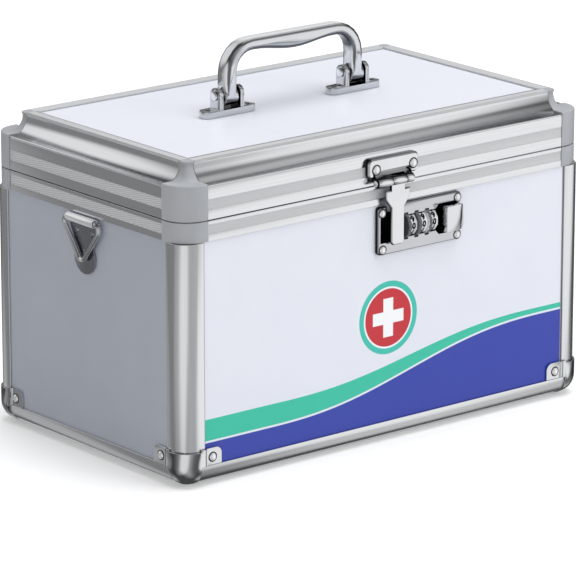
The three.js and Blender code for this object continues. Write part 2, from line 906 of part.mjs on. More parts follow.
// Slide: the knob in front of the window, a tab behind it, and the bolt, an arm along the bottom
// of the plate that turns up into a nose beside the hook.
function lockSlide() {
  const armBottom = lockBottom + lockPlateWall + boltArmGap;
  const noseLeft = flapOffset + hookWidth / 2 + boltNoseGap;
  const noseRight = noseLeft + boltNoseWidth;
  const outline = [
    [noseLeft, armBottom],
    [stemRight, armBottom],
    [stemRight, armBottom + slideTabHeight],
    [stemLeft, armBottom + slideTabHeight],
    [stemLeft, armBottom + boltArmHeight],
    [noseRight, armBottom + boltArmHeight],
    [noseRight, armBottom + boltNoseHeight],
    [noseLeft, armBottom + boltNoseHeight],
  ];
  return prism("y", outline, slideFront, slideBack).add(slideKnob());
}

// Hasp plate: a raised body on the lid, notched at its foot for two lugs that carry the pin.
function haspPlate() {
  const side = haspPlateWidth / 2;
  const low = bodyHeight + haspPlateRise;
  const high = low + haspPlateHeight;
  const notchTop = low + haspNotchRise;
  const front = fitGap + haspPlateThickness;
  const middle = knuckleMiddle / 2 + knuckleGap;
  const slot = [flapOffset - middle, flapOffset + middle];
  const slotTop = haspPinZ + knuckleRadius + knuckleSlotRise;
  const [lowerLeft, lowerRight, ...upper] = [0, 1, 2, 3].map((i) => {
    const corner = rectangle(-side, low, side, high, haspPlateRounding);
    return corner.slice(i * (arcSteps + 1), (i + 1) * (arcSteps + 1));
  });
  const outline = [
    ...lowerLeft,
    [barrelLeft - fitGap, low],
    [barrelLeft - fitGap, notchTop],
    [barrelRight + fitGap, notchTop],
    [barrelRight + fitGap, low],
    ...lowerRight,
    ...upper.flat(),
  ];
  const web = [
    [-fitGap, haspPinZ],
    [-haspPinProud, haspPinZ],
    [-haspPinProud, haspPinZ + knuckleRadius],
    [haspPlateBevel - front, notchTop],
    [haspPlateBevel - front, notchTop + overrun],
    [-fitGap, notchTop + overrun],
  ];
  const barrel = round(-haspPinProud, haspPinZ, knuckleRadius);
  const bore = round(-haspPinProud, haspPinZ, haspPinRadius + pinClearance);
  return facePlate(outline, -front, -fitGap, haspPlateBevel)
    .add(prism("x", web, barrelLeft, barrelRight))
    .add(prism("x", barrel, barrelLeft, barrelRight))
    .subtract(box(slot, [-caseDepth, 0], [0, slotTop]))
    .subtract(prism("x", bore, -side, side));
}

// A pin along X, from one place to another, with a head at each end.
function pin(radius, headRadius, from, to, head) {
  return prism("x", round(0, 0, radius), from - head / 2, to + head / 2)
    .add(prism("x", round(0, 0, headRadius), from - head, from))
    .add(prism("x", round(0, 0, headRadius), to, to + head));
}

// Hasp: its knuckle turns between the lugs, and the flap hangs from it. It and the hook are
// drawn round the pin.
const flapRear = haspPinProud - flapBack;

function haspFlap() {
  const middle = knuckleMiddle / 2;
  const neck = [fitGap - middle, middle - fitGap];
  const shoulder = flapShoulderWidth / 2;
  const tongue = tongueWidth / 2;
  const shoulderEnd = -flapShoulderDrop - flapShoulderHeight;
  const half = [
    [shoulder, -flapShoulderDrop],
    [shoulder, shoulderEnd],
    [tongue, shoulderEnd - flapTaperHeight],
  ];
  const tip = rectangle(-tongue, -flapLength, tongue, shoulderEnd, [
    tongueRounding,
    tongueRounding,
    0,
    0,
  ]).slice(0, -2);
  const outline = [
    ...half.map(([x, z]) => [-x, z]),
    ...tip,
    ...half.toReversed(),
  ];
  const front = flapRear - flapThickness;
  const flap = extrusion(outline, flapThickness - 2 * flapBevel, 1, flapBevel).applyMatrix4(
    laid.y(0, flapRear - flapBevel),
  );
  const bore = round(0, 0, haspPinRadius + pinClearance);
  const root = box(neck, [front, flapRear], [-flapShoulderDrop - flapBevel, 0]);
  return solid(flap)
    .add(root)
    .add(prism("x", round(0, 0, knuckleRadius), -middle, middle))
    .subtract(prism("x", bore, -flapLength, flapLength));
}

function haspHook() {
  const half = hookWidth / 2;
  const grooveFront = haspPinProud + plateInner;
  const grooveBack = haspPinProud + slideBack + fitGap;
  const plan = [
    [-half, flapRear + fitGap],
    [half, flapRear + fitGap],
    [half, grooveFront],
    [hookWeb - half, grooveFront],
    [hookWeb - half, grooveBack],
    [half, grooveBack],
    [half, grooveBack + hookTip],
    [-half, grooveBack + hookTip],
  ];
  return prism("z", plan, hookRise - flapLength, hookRise + hookHeight - flapLength);
}

// Handle brackets: a base with rounded ends, two ears and a screw hole at each end. They are
// drawn round the pin.
function handleBracket() {
  const half = bracketLength / 2;
  const depth = bracketDepth / 2;
  const baseTop = -pinRise;
  const base = rectangle(-half, -depth, half, depth, depth);
  const hole = (side) => round(side * (half - depth), 0, pinRadius);
  const ear = [
    [-earDepth / 2, baseTop - bracketThickness / 2],
    [earDepth / 2, baseTop - bracketThickness / 2],
    ...arc(0, 0, earDepth / 2, 0, 2 * quarter, 2 * arcSteps),
  ];
  const inner = earGap / 2;
  const outer = inner + earThickness;
  const ears = prism("x", ear, -outer, outer).subtract(
    box([-inner, inner], [-earDepth, earDepth], [baseTop - bracketThickness, earDepth]),
  );
  return [-1, 1].reduce(
    (made, side) =>
      made.subtract(prism("z", hole(side), baseTop - 2 * bracketThickness, baseTop + overrun)),
    prism("z", base, baseTop - bracketThickness, baseTop)
      .add(ears)
      .subtract(prism("x", round(0, 0, pinRadius + pinClearance), -half, half)),
  );
}

// Handle: two legs bent over into a slimmer bar with a belly under its middle. Each leg ends in
// a round below its pin.
function handle() {
  const across = handleSpacing / 2;
  const flat = across - handleBend;
  const bend = (side, from, to) =>
    arc(side * flat, handleRise - handleBend, handleBend, from, to).map(([x, z]) => {
      const angle = Math.atan2(z - handleRise + handleBend, x - side * flat);
      return [x, z, Math.sin(angle), -Math.cos(angle)];
    });
  const bar = Array.from({ length: 2 * arcSteps - 1 }, (_, i) => {
    const share = ((i + 1) * 2) / (2 * arcSteps) - 1;
    return [(share * handleBellySpan) / 2, handleRise, 1, 0];
  });
  const path = [
    [-across, -handleLugDrop, 0, 1],
    ...bend(-1, 2 * quarter, quarter),
    ...bar,
    ...bend(1, quarter, 0),
    [across, -handleLugDrop, 0, -1],
  ];
  const frames = path.map(([x, z, alongX, alongZ]) =>
    new THREE.Matrix4()
      .makeBasis(
        new THREE.Vector3(alongZ, 0, -alongX),
        unitY,
        new THREE.Vector3(alongX, 0, alongZ),
      )
      .setPosition(x, 0, z),
  );
  const bellyAt = (x) => (handleBelly * (1 + Math.cos((4 * quarter * x) / handleBellySpan))) / 2;
  const width = handleLegWidth / 2;
  const depth = handleDepth / 2;
  const section = rectangle(-width, -depth, width, depth, handleRounding, arcSteps / 2);
  const grip = sweep(section, frames, (place, frame) => {
    const [x, , alongX] = path[frame];
    place.x *= 1 + (handleBarShare - 1) * alongX;
    if (alongX === 1 && place.x > 0) place.x += bellyAt(x);
  });
  return [-across, across].reduce(
    (made, x) =>
      made
        .add(prism("x", round(0, -handleLugDrop, depth), x - width, x + width))
        .subtract(
          prism("x", round(0, 0, pinRadius + pinClearance), x - 2 * width, x + 2 * width),
        ),
    grip,
  );
}

// Ring plate: a plate on the side of the case, rolled over at the top into a tube for the ring,
// with a round lobe below. Plate and ring are drawn round the middle of the tube.
function ringPlate() {
  const half = ringPlateWidth / 2;
  const waist = ringLobeRadius * ringWaistShare;
  const body = [
    [-waist, -ringLobeDrop],
    [waist, -ringLobeDrop],
    [half, -ringPlateShoulder],
    [half, 0],
    [-half, 0],
    [-half, -ringPlateShoulder],
  ];
  const back = ringProud + skin;
  const front = back - ringPlateThickness;
  const tubeHalf = ringTubeLength / 2;
  return prism("y", body, front, back)
    .add(prism("y", round(0, -ringLobeDrop, ringLobeRadius), front, back))
    .add(prism("x", round(0, 0, ringTubeRadius), -tubeHalf, tubeHalf))
    .subtract(prism("x", round(0, 0, ringWire + ringBoreClearance), -half, half));
}

// Ring: a wire bent into a triangle with rounded corners. Its two ends meet inside the tube.
function ring() {
  const side = ringShoulderReach - ringSideRadius;
  const drop = ringTipDrop - ringSideRadius;
  const lean = Math.acos((ringSideRadius - ringTipRadius) / Math.hypot(side, drop));
  const touch = Math.atan2(-drop, -side) + lean;
  const half = [
    [ringWireGap / 2, 0, quarter],
    ...arc(0, 0, 1, quarter, touch).map(([cos, sin]) => [
      side + ringSideRadius * cos,
      ringSideRadius * (sin - 1),
      Math.atan2(sin, cos),
    ]),
    ...arc(0, 0, 1, touch, -quarter, arcSteps / 2).map(([cos, sin]) => [
      ringTipRadius * cos,
      ringTipRadius * sin - ringTipDrop,
      Math.atan2(sin, cos),
    ]),
  ];
  const other = half.slice(0, -1).reverse().map(([x, z, out]) => [-x, z, -2 * quarter - out]);
  const frames = [...half, ...other].map(([x, z, out]) =>
    new THREE.Matrix4()
      .makeBasis(
        unitY,
        new THREE.Vector3(Math.cos(out), 0, Math.sin(out)),
        new THREE.Vector3(Math.sin(out), 0, -Math.cos(out)),
      )
      .setPosition(x, 0, z),
  );
  return sweep(round(0, 0, ringWire, wireSides), frames);
}

// Tray: its rim lies on the rib of the case. One long pocket at the back, smaller ones in front.
function tray() {
  const edge = ribFace + fitGap;
  const rimX = caseWidth / 2 - edge;
  const rimY = caseDepth / 2 - edge;
  const wallX = caseWidth / 2 - trayInset;
  const wallY = caseDepth / 2 - trayInset;
  const top = trayBottom + trayHeight;
  const rim = rectangle(-rimX, -rimY, rimX, rimY, trayRimRounding);
  const wall = rectangle(-wallX, -wallY, wallX, wallY, trayRounding);
  const inX = wallX * trayDraftShare - trayWall;
  const inY = wallY * trayDraftShare - trayWall;
  const split = inY - 2 * inY * trayBackShare;
  const pocketWidth = (2 * inX + trayWall) / trayPockets;
  const pocket = (left, front, right, back) =>
    drafted(
      rectangle(left, front, right, back, trayRounding - trayWall, arcSteps / 2),
      trayBottom + trayWall,
      top + overrun,
      trayDraftShare,
    );
  const frontPockets = Array.from({ length: trayPockets }, (_, i) => {
    const left = -inX + i * pocketWidth;
    return pocket(left, -inY, left + pocketWidth - trayWall, split - trayWall);
  });
  return [pocket(-inX, split, inX, inY), ...frontPockets].reduce(
    (made, cut) => made.subtract(cut),
    drafted(wall, trayBottom, top - trayRim / 2, trayDraftShare).add(
      prism("z", rim, top - trayRim, top),
    ),
  );
}

// Meshes and groups
function piece(name, made, material, place = [0, 0, 0]) {
  const mesh = new THREE.Mesh(geometryOf(made), material());
  mesh.name = name;
  mesh.position.set(...place);
  return mesh;
}

// A group on one side of the case: x runs along the side, and y runs in from its face.
function facing(turns, reach) {
  const group = new THREE.Group();
  group.rotation.z = turns * quarter;
  group.position.set(0, -reach, 0).applyAxisAngle(unitZ, group.rotation.z);
  return group;
}

const body = new THREE.Group();
const lid = new THREE.Group();

const sides = [
  ["front", caseWidth, caseDepth / 2, boardWhite],
  ["right", caseDepth, caseWidth / 2, boardSilver],
  ["back", caseWidth, caseDepth / 2, boardWhite],
  ["left", caseDepth, caseWidth / 2, boardSilver],
];
sides.forEach(([name, length, reach, board], turns) => {
  const lower = facing(turns, reach);
  const upper = facing(turns, reach);
  const panel = name === "front" ? frontPanel() : sidePanel(length);
  lower.add(
    piece(`panel_${name}`, panel, board),
    piece(`bottom_rail_${name}`, bottomRail(length), aluminium),
    piece(`rim_rail_${name}`, rimRail(length), aluminium),
  );
  upper.add(piece(`lid_rail_${name}`, lidRail(length), aluminium));
  body.add(lower);
  lid.add(upper);
});

const corners = [
  ["front_left", -1, -1],
  ["front_right", 1, -1],
  ["back_right", 1, 1],
  ["back_left", -1, 1],
];
corners.forEach(([name, toX, toY], turns) => {
  const lower = new THREE.Group();
  lower.position.set((toX * caseWidth) / 2, (toY * caseDepth) / 2, 0);
  lower.rotation.z = turns * quarter;
  const upper = lower.clone();
  lower.add(
    piece(`corner_post_${name}`, cornerPost(), aluminium),
    piece(`rim_corner_${name}`, rimCorner(), mouldingGrey),
    piece(`foot_corner_${name}`, footCorner(), chrome),
  );
  upper.add(piece(`lid_corner_${name}`, lidCorner(), mouldingGrey));
  body.add(lower);
  lid.add(upper);
});

body.add(piece("panel_bottom", bottomPanel(), boardSilver), piece("tray", tray(), trayPlastic));
lid.add(piece("lid_panel", lidPanel(), boardWhite));

const lock = facing(0, caseDepth / 2);
lock.add(
  piece("lock_plate", lockPlate(), chrome),
  piece("lock_case", lockCase(), lockBlack),
  piece("dial_axle", dialAxle(), steel),
  piece("dial_spring", dialSpring(), steel),
  piece("lock_slide", lockSlide(), chrome),
);
for (let i = 0; i < dialCount; i++) {
  const place = [dialFirstLeft + i * dialPitch, axleDepth, lockMiddle];
  lock.add(piece(`dial_${i + 1}`, dial(), chrome, place));
}
body.add(lock);

const hasp = facing(0, caseDepth / 2);
const haspPlace = [0, -haspPinProud, haspPinZ];
const flapPlace = [flapOffset, -haspPinProud, haspPinZ];
const haspPinEnds = [barrelLeft - fitGap, barrelRight + fitGap];
const haspPin = pin(haspPinRadius, haspPinHeadRadius, ...haspPinEnds, haspPinHead);
hasp.add(
  piece("hasp_plate", haspPlate(), chrome),
  piece("hasp_pin", haspPin, steel, haspPlace),
  piece("hasp", haspFlap(), chrome, flapPlace),
  piece("hasp_hook", haspHook(), chrome, flapPlace),
);
lid.add(hasp);

const backHinges = [
  ["left", 1],
  ["right", -1],
];
backHinges.forEach(([name, toX]) => {
  const place = [toX * (caseWidth / 2 - hingeInset), 0, 0];
  const lower = facing(2, caseDepth / 2);
  const upper = facing(2, caseDepth / 2);
  lower.add(piece(`hinge_leaf_body_${name}`, hingeLeafBody(), steel, place));
  upper.add(piece(`hinge_leaf_lid_${name}`, hingeLeafLid(), steel, place));
  body.add(lower);
  lid.add(upper);
});

const grip = new THREE.Group();
grip.position.z = handlePinZ;
grip.add(piece("handle", handle(), chrome));
const handlePinHalf = earGap / 2 + earThickness + fitGap;
const ends = [
  ["left", -1],
  ["right", 1],
];
ends.forEach(([name, toX]) => {
  const place = [(toX * handleSpacing) / 2, 0, 0];
  const turning = pin(pinRadius, pinHeadRadius, -handlePinHalf, handlePinHalf, pinHeadLength);
  grip.add(
    piece(`handle_bracket_${name}`, handleBracket(), chrome, place),
    piece(`handle_pin_${name}`, turning, steel, place),
  );
  const side = facing(toX, caseWidth / 2);
  const hung = [0, -ringProud, ringZ];
  side.add(
    piece(`ring_plate_${name}`, ringPlate(), steel, hung),
    piece(`ring_${name}`, ring(), steel, hung),
  );
  body.add(side);
});
lid.add(grip);

const lockBox = new THREE.Group();
lockBox.position.y = (frontReach - backReach) / 2;
lockBox.add(body, lid);
export default lockBox;
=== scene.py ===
import json
import math

import bmesh
import bpy
from mathutils import Matrix, Vector

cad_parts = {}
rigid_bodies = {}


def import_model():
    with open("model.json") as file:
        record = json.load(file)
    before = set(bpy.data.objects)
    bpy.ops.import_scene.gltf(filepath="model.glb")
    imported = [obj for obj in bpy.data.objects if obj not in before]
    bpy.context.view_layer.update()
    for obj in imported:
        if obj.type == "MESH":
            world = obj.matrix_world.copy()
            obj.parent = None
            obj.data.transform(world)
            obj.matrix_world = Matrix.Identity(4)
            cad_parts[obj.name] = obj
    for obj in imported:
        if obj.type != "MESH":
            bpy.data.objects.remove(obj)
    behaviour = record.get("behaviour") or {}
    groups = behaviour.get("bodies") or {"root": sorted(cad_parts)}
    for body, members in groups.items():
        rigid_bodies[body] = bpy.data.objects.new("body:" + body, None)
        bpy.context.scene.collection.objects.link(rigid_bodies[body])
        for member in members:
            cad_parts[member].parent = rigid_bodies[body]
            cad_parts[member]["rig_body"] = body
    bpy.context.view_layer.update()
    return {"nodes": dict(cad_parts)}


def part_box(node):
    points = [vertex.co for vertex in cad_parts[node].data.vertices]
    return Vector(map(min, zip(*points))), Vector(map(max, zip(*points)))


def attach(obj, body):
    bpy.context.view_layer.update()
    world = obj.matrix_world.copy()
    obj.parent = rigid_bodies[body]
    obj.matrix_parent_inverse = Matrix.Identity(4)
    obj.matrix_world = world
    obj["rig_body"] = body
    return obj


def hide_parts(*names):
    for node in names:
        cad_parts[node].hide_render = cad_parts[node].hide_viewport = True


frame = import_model()


# Camera
# A long lens from the front left, a little above the lid, as a product is photographed. Colours
# are shown as they are mixed, without a film's contrast.
camera_place = Vector((-1.62787, -1.98929, 0.80353))
camera_right = Vector((0.774452, -0.632633, 0.000109))
camera_up = Vector((0.173069, 0.212033, 0.961816))
camera_back = Vector((-0.608499, -0.744861, 0.273698))
lens = bpy.data.cameras.new("product_lens")
lens.lens = 284.13
lens.sensor_width = 36
lens.clip_end = 50
camera = bpy.data.objects.new("camera", lens)
camera_turn = Matrix((camera_right, camera_up, camera_back)).transposed().to_4x4()
camera.matrix_world = Matrix.Translation(camera_place) @ camera_turn
bpy.context.scene.collection.objects.link(camera)
bpy.context.scene.camera = camera
bpy.context.scene.view_settings.view_transform = "Standard"


# Floor
# A pale painted studio floor. What the camera sees of it is lifted to white where it is lit, and
# it keeps the shadow of the case. Bright metal mirrors the cards round the room, not the floor.
def linear(hex_colour):
    """An sRGB colour such as "C8CACD" as linear red, green, blue and alpha."""
    shares = [int(hex_colour[i : i + 2], 16) / 255 for i in (0, 2, 4)]
    return [s / 12.92 if s <= 0.04045 else ((s + 0.055) / 1.055) ** 2.4 for s in shares] + [1]


def add(tree, kind, inputs=(), **settings):
    """A new node. An input is set to a value, or linked where it is another node's socket."""
    node = tree.nodes.new(kind)
    for name, value in settings.items():
        setattr(node, name, value)
    for key, value in dict(inputs).items():
        if isinstance(value, bpy.types.NodeSocket):
            tree.links.new(value, node.inputs[key])
        else:
            node.inputs[key].default_value = value
    return node


def show(data, name, *materials):
    """A mesh, a curve or a lamp as an object of the scene, with its materials."""
    made = bpy.data.objects.new(name, data)
    for material in materials:
        data.materials.append(material)
    bpy.context.scene.collection.objects.link(made)
    return made


floor_half = 6
floor_drop = 0.0002
floor_lift = 0.22
floor_corners = [(-1, -1), (1, -1), (1, 1), (-1, 1)]
floor_mesh = bpy.data.meshes.new("floor")
floor_mesh.from_pydata(
    [(x * floor_half, y * floor_half, -floor_drop) for x, y in floor_corners], [], [(0, 1, 2, 3)]
)
floor_paint = bpy.data.materials.new("pale_floor_paint")
floor_paint.use_nodes = True
tree = floor_paint.node_tree
tree.nodes.clear()
paint = add(tree, "ShaderNodeBsdfDiffuse", {"Color": linear("F4F4F5")})
rays = add(tree, "ShaderNodeLightPath")
seen = add(
    tree,
    "ShaderNodeMath",
    {0: rays.outputs["Is Camera Ray"], 1: rays.outputs["Is Transmission Ray"]},
    operation="MAXIMUM",
)
lift = add(tree, "ShaderNodeMath", {0: seen.outputs[0], 1: floor_lift}, operation="MULTIPLY")
glow = add(tree, "ShaderNodeEmission", {"Color": linear("FFFFFF"), "Strength": lift.outputs[0]})
both = add(tree, "ShaderNodeAddShader", {0: paint.outputs[0], 1: glow.outputs[0]})
add(tree, "ShaderNodeOutputMaterial", {"Surface": both.outputs[0]})
floor = show(floor_mesh, "floor", floor_paint)
floor.visible_glossy = False


# Studio light
# A pale room with a softbox overhead, one in front on the right and weak ones on the left and at
# the back. The camera sees white behind the case. Bright metal sees a dim room instead, with the
# pale cards that stand round the case.
room_level = 0.07
diffuse_level = 0.46
# Of each card: its bearing and height, how far it is full and where it ends, in degrees, its level.
cards = [
    ("front_right", -46, -15, 13, 32, 1.0),
    ("front_right_high", -48, 10, 8, 30, 0.95),
    ("front_left", -148, -12, 10, 42, 0.88),
    ("left", -175, -12, 12, 44, 0.46),
    ("front", -98, -8, 20, 70, 0.46),
    ("back_left", 128, -10, 16, 50, 0.23),
    ("back_left_high", 114, 32, 14, 38, 0.9),
    ("back_high", 50, 16, 8, 30, 0.25),
    ("back_low", 51, -14, 12, 22, 1.0),
    ("front_high", -38, 36, 6, 22, 0.34),
    ("overhead", -12, 55, 8, 34, 0.52),
    ("floor_front", -18, -42, 9, 27, 0.62),
    ("floor_left", 104, -36, 12, 30, 0.46),
]

room = bpy.data.worlds.new("pale_room")
room.use_nodes = True
bpy.context.scene.world = room
tree = room.node_tree
tree.nodes.clear()
rays = add(tree, "ShaderNodeLightPath")
direction = add(tree, "ShaderNodeTexCoord").outputs["Generated"]
metal_sees = room_level
for name, bearing, height, full, edge, card_level in cards:
    turn, rise = math.radians(bearing), math.radians(height)
    towards = (math.cos(turn) * math.cos(rise), math.sin(turn) * math.cos(rise), math.sin(rise))
    near = add(tree, "ShaderNodeVectorMath", {0: direction, 1: towards}, operation="DOT_PRODUCT")
    card = add(
        tree,
        "ShaderNodeMapRange",
        {
            "Value": near.outputs["Value"],
            "From Min": math.cos(math.radians(edge)),
            "From Max": math.cos(math.radians(full)),
            "To Min": room_level,
            "To Max": card_level,
        },
        interpolation_type="SMOOTHSTEP",
    )
    card.label = name
    metal_sees = add(
        tree, "ShaderNodeMath", {0: metal_sees, 1: card.outputs[0]}, operation="MAXIMUM"
    ).outputs[0]
glossy = add(
    tree, "ShaderNodeMath", {0: rays.outputs["Is Glossy Ray"], 1: metal_sees}, operation="MULTIPLY"
)
level = add(
    tree,
    "ShaderNodeMath",
    {0: rays.outputs["Is Diffuse Ray"], 1: diffuse_level},
    operation="MULTIPLY",
)
white_rays = [rays.outputs["Is Camera Ray"], rays.outputs["Is Transmission Ray"]]
for share in [glossy.outputs[0], *white_rays]:
    level = add(tree, "ShaderNodeMath", {0: level.outputs[0], 1: share}, operation="ADD")
light = add(
    tree, "ShaderNodeBackground", {"Color": linear("FFFFFF"), "Strength": level.outputs[0]}
)
add(tree, "ShaderNodeOutputWorld", {"Surface": light.outputs[0]})

# Of each softbox: its place, the length of its side in metres, its power in watts.
aim = Vector((0, 0, 0.1))
softboxes = [
    ("overhead_softbox", (0.2, -0.2, 1.9), 1.6, 28),
    ("front_softbox", (0.9, -1.9, 0.9), 1.2, 10.5),
    ("left_softbox", (-2.0, -0.5, 0.7), 0.8, 2.2),
    ("back_softbox", (0.6, 2.0, 1.0), 1.4, 6),
]
for name, spot, side, power in softboxes:
    lamp = bpy.data.lights.new(name, "AREA")
    lamp.shape = "SQUARE"
    lamp.size = side
    lamp.energy = power
    softbox = show(lamp, name)
    softbox.location = spot
    softbox.rotation_euler = (aim - softbox.location).to_track_quat("-Z", "Y").to_euler()
    softbox.visible_glossy = False


# Panels
# Fibreboard faced with a smooth white laminate at the front, the back and in the lid, and with a
# silver one at the sides and the bottom. Their edges stand in the slots of the profiles.
white_sheet = ("E7EAF3", "E1E4EE")
silver_sheet = ("B0B5C0", "A9AEB9")
mottle_size = 0.03
peel_size = 0.0012


def finish(name, colour, metallic, roughness, **constants):
    """A new material with its constants set on the shader, and its node tree."""
    made = bpy.data.materials.new(name)
    made.use_nodes = True
    shader = made.node_tree.nodes["Principled BSDF"]
    shader.inputs["Base Color"].default_value = linear(colour)
    shader.inputs["Metallic"].default_value = metallic
    shader.inputs["Roughness"].default_value = roughness
    for key, value in constants.items():
        shader.inputs[key.replace("_", " ")].default_value = value
    return made, made.node_tree, shader


def dress(material, slot, *nodes):
    """CAD nodes whose shape is right keep it and get the real finish."""
    for name in nodes:
        solid = frame["nodes"][name]
        solid.data.materials.clear()
        solid.data.materials.append(material)


def laminate(name, colour, shade):
    """Pressed laminate: an even satin sheet with a faint orange peel and hardly any mottle."""
    made, tree, shader = finish(name, colour, 0, 0.34, Coat_Weight=0.15, Coat_Roughness=0.2)
    place = add(tree, "ShaderNodeTexCoord").outputs["Object"]
    mottle = add(
        tree, "ShaderNodeTexNoise", {"Vector": place, "Scale": 1 / mottle_size, "Detail": 3}
    )
    tint = add(
        tree,
        "ShaderNodeMix",
        {0: mottle.outputs["Fac"], 6: linear(colour), 7: linear(shade)},
        data_type="RGBA",
    )
    peel = add(tree, "ShaderNodeTexNoise", {"Vector": place, "Scale": 1 / peel_size, "Detail": 2})
    rough = add(
        tree, "ShaderNodeMapRange", {"Value": mottle.outputs["Fac"], "To Min": 0.3, "To Max": 0.4}
    )
    bump = add(
        tree, "ShaderNodeBump", {"Height": peel.outputs["Fac"], "Strength": 0.06, "Distance": 0.0001}
    )
    tree.links.new(tint.outputs[2], shader.inputs["Base Color"])
    tree.links.new(rough.outputs[0], shader.inputs["Roughness"])
    tree.links.new(bump.outputs[0], shader.inputs["Normal"])
    return made, tree, shader, tint.outputs[2], place


white_laminate = laminate("white_laminate", *white_sheet)[0]
silver_laminate = laminate("silver_laminate", *silver_sheet)[0]
dress(white_laminate, "back_board", "panel_back")
dress(white_laminate, "lid_board", "lid_panel")
dress(silver_laminate, "side_board", "panel_left", "panel_right")
dress(silver_laminate, "bottom_board", "panel_bottom")


# Front panel
# The same white laminate, printed: a blue sweep that rises to the right under a green stripe,
# and a plain round first aid sign, a white cross on a red disc with a green ring. Next to the lips
# of the posts, where the sheet runs in under them, a fine grey line of painted shadow is put on it.
sweep_low = 0.025
sweep_high = 0.0545
sweep_start = -0.09
sweep_end = 0.125
stripe_gap = 0.0012
stripe_left = 0.0125
stripe_right = 0.003
print_edge = 0.00015
sign_middle = (0.0, 0.0738)
sign_radius = 0.0217
sign_ring = 0.0034
sign_disc = 0.0172
cross_reach = 0.0115
cross_half = 0.0037
case_half = {"X": 0.15, "Y": 0.0895}
post_width = 0.0151
lip_shadow_width = 0.001

printed, tree, shader, ground, place = laminate("printed_white_laminate", *white_sheet)
at = add(tree, "ShaderNodeSeparateXYZ", {0: place})
along_sweep = {"Value": at.outputs["X"], "From Min": sweep_start, "From Max": sweep_end}
crest = add(
    tree,
    "ShaderNodeMapRange",
    {**along_sweep, "To Min": sweep_low, "To Max": sweep_high},
    interpolation_type="SMOOTHERSTEP",
)
above = add(
    tree, "ShaderNodeMath", {0: at.outputs["Z"], 1: crest.outputs[0]}, operation="SUBTRACT"
).outputs[0]
width = add(
    tree,
    "ShaderNodeMapRange",
    {**along_sweep, "To Min": stripe_left, "To Max": stripe_right},
    interpolation_type="SMOOTHSTEP",
)
past_stripe = add(
    tree, "ShaderNodeMath", {0: above, 1: width.outputs[0]}, operation="SUBTRACT"
).outputs[0]
from_sign = add(
    tree,
    "ShaderNodeVectorMath",
    {0: place, 1: (sign_middle[0], 0, sign_middle[1])},
    operation="SUBTRACT",
)
on_sheet = add(
    tree, "ShaderNodeVectorMath", {0: from_sign.outputs[0], 1: (1, 0, 1)}, operation="MULTIPLY"
)
distance = add(
    tree, "ShaderNodeVectorMath", {0: on_sheet.outputs[0]}, operation="LENGTH"
).outputs["Value"]
sides = add(tree, "ShaderNodeVectorMath", {0: on_sheet.outputs[0]}, operation="ABSOLUTE")
sides = add(tree, "ShaderNodeSeparateXYZ", {0: sides.outputs[0]}).outputs
longer = add(tree, "ShaderNodeMath", {0: sides["X"], 1: sides["Z"]}, operation="MAXIMUM")
shorter = add(tree, "ShaderNodeMath", {0: sides["X"], 1: sides["Z"]}, operation="MINIMUM")
to_post = add(
    tree, "ShaderNodeMath", {0: case_half["X"] - post_width, 1: sides["X"]}, operation="SUBTRACT"
)


def inked(paper, ink, *limits):
    """Ink over the paper where every value is below its limit, with a print's soft edge."""
    covered = 1
    for value, limit in limits:
        inside = add(
            tree,
            "ShaderNodeMapRange",
            {
                "Value": value,
                "From Min": limit - print_edge,
                "From Max": limit + print_edge,
                "To Min": 1,
                "To Max": 0,
            },
        )
        covered = add(
            tree, "ShaderNodeMath", {0: covered, 1: inside.outputs[0]}, operation="MULTIPLY"
        ).outputs[0]
    mixed = add(tree, "ShaderNodeMix", {0: covered, 6: paper, 7: linear(ink)}, data_type="RGBA")
    return mixed.outputs[2]


sheet = inked(ground, "2CC2A4", (past_stripe, stripe_gap))
sheet = inked(sheet, "E4E9F2", (above, stripe_gap))
sheet = inked(sheet, "2439A8", (above, 0))
sheet = inked(sheet, "35C1B0", (distance, sign_radius))
sheet = inked(sheet, "F2F5F8", (distance, sign_radius - sign_ring))
sheet = inked(sheet, "C61C2A", (distance, sign_disc))
sheet = inked(sheet, "F6F8FA", (longer.outputs[0], cross_reach), (shorter.outputs[0], cross_half))
# A fine grey line of painted shadow along the lips of the posts.
sheet = inked(sheet, "98949F", (to_post.outputs[0], lip_shadow_width))
tree.links.new(sheet, shader.inputs["Base Color"])
dress(printed, "front_board", "panel_front")


# Corner posts and bottom rails
# Extruded aluminium with a rounded back, satin anodised, with slots that hold the panels' edges.
# The die leaves faint lines along the length.
corners = ["front_left", "front_right", "back_right", "back_left"]
same_point = 1e-6
flat_angle = math.radians(0.5)
sharp_angle = math.radians(38)
die_line_gap = 0.0004
die_line_length = 0.06
# Noise hardly ever leaves this span.
noise_span = {"From Min": 0.3, "From Max": 0.7}


def meshed(shape, name):
    """The mesh of a shape that is done."""
    mesh = bpy.data.meshes.new(name)
    shape.to_mesh(mesh)
    shape.free()
    return mesh


def eased(slot, material, edge, *nodes):
    """Copies of CAD solids with their edges eased, as the real pieces' are. They stand for them."""
    for name in nodes:
        solid = frame["nodes"][name]
        shape = bmesh.new()
        shape.from_mesh(solid.data)
        bmesh.ops.remove_doubles(shape, verts=shape.verts, dist=same_point)
        bmesh.ops.dissolve_limit(
            shape, angle_limit=flat_angle, verts=shape.verts, edges=shape.edges
        )
        for face in shape.faces:
            face.smooth = True
        copy = show(meshed(shape, f"{name}.eased"), f"{name}.eased", material)
        bevel = copy.modifiers.new("eased_edges", "BEVEL")
        bevel.width = edge
        bevel.segments = 3
        bevel.limit_method = "ANGLE"
        bevel.angle_limit = sharp_angle
        bevel.harden_normals = True
        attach(copy, solid["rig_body"])
        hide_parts(name)


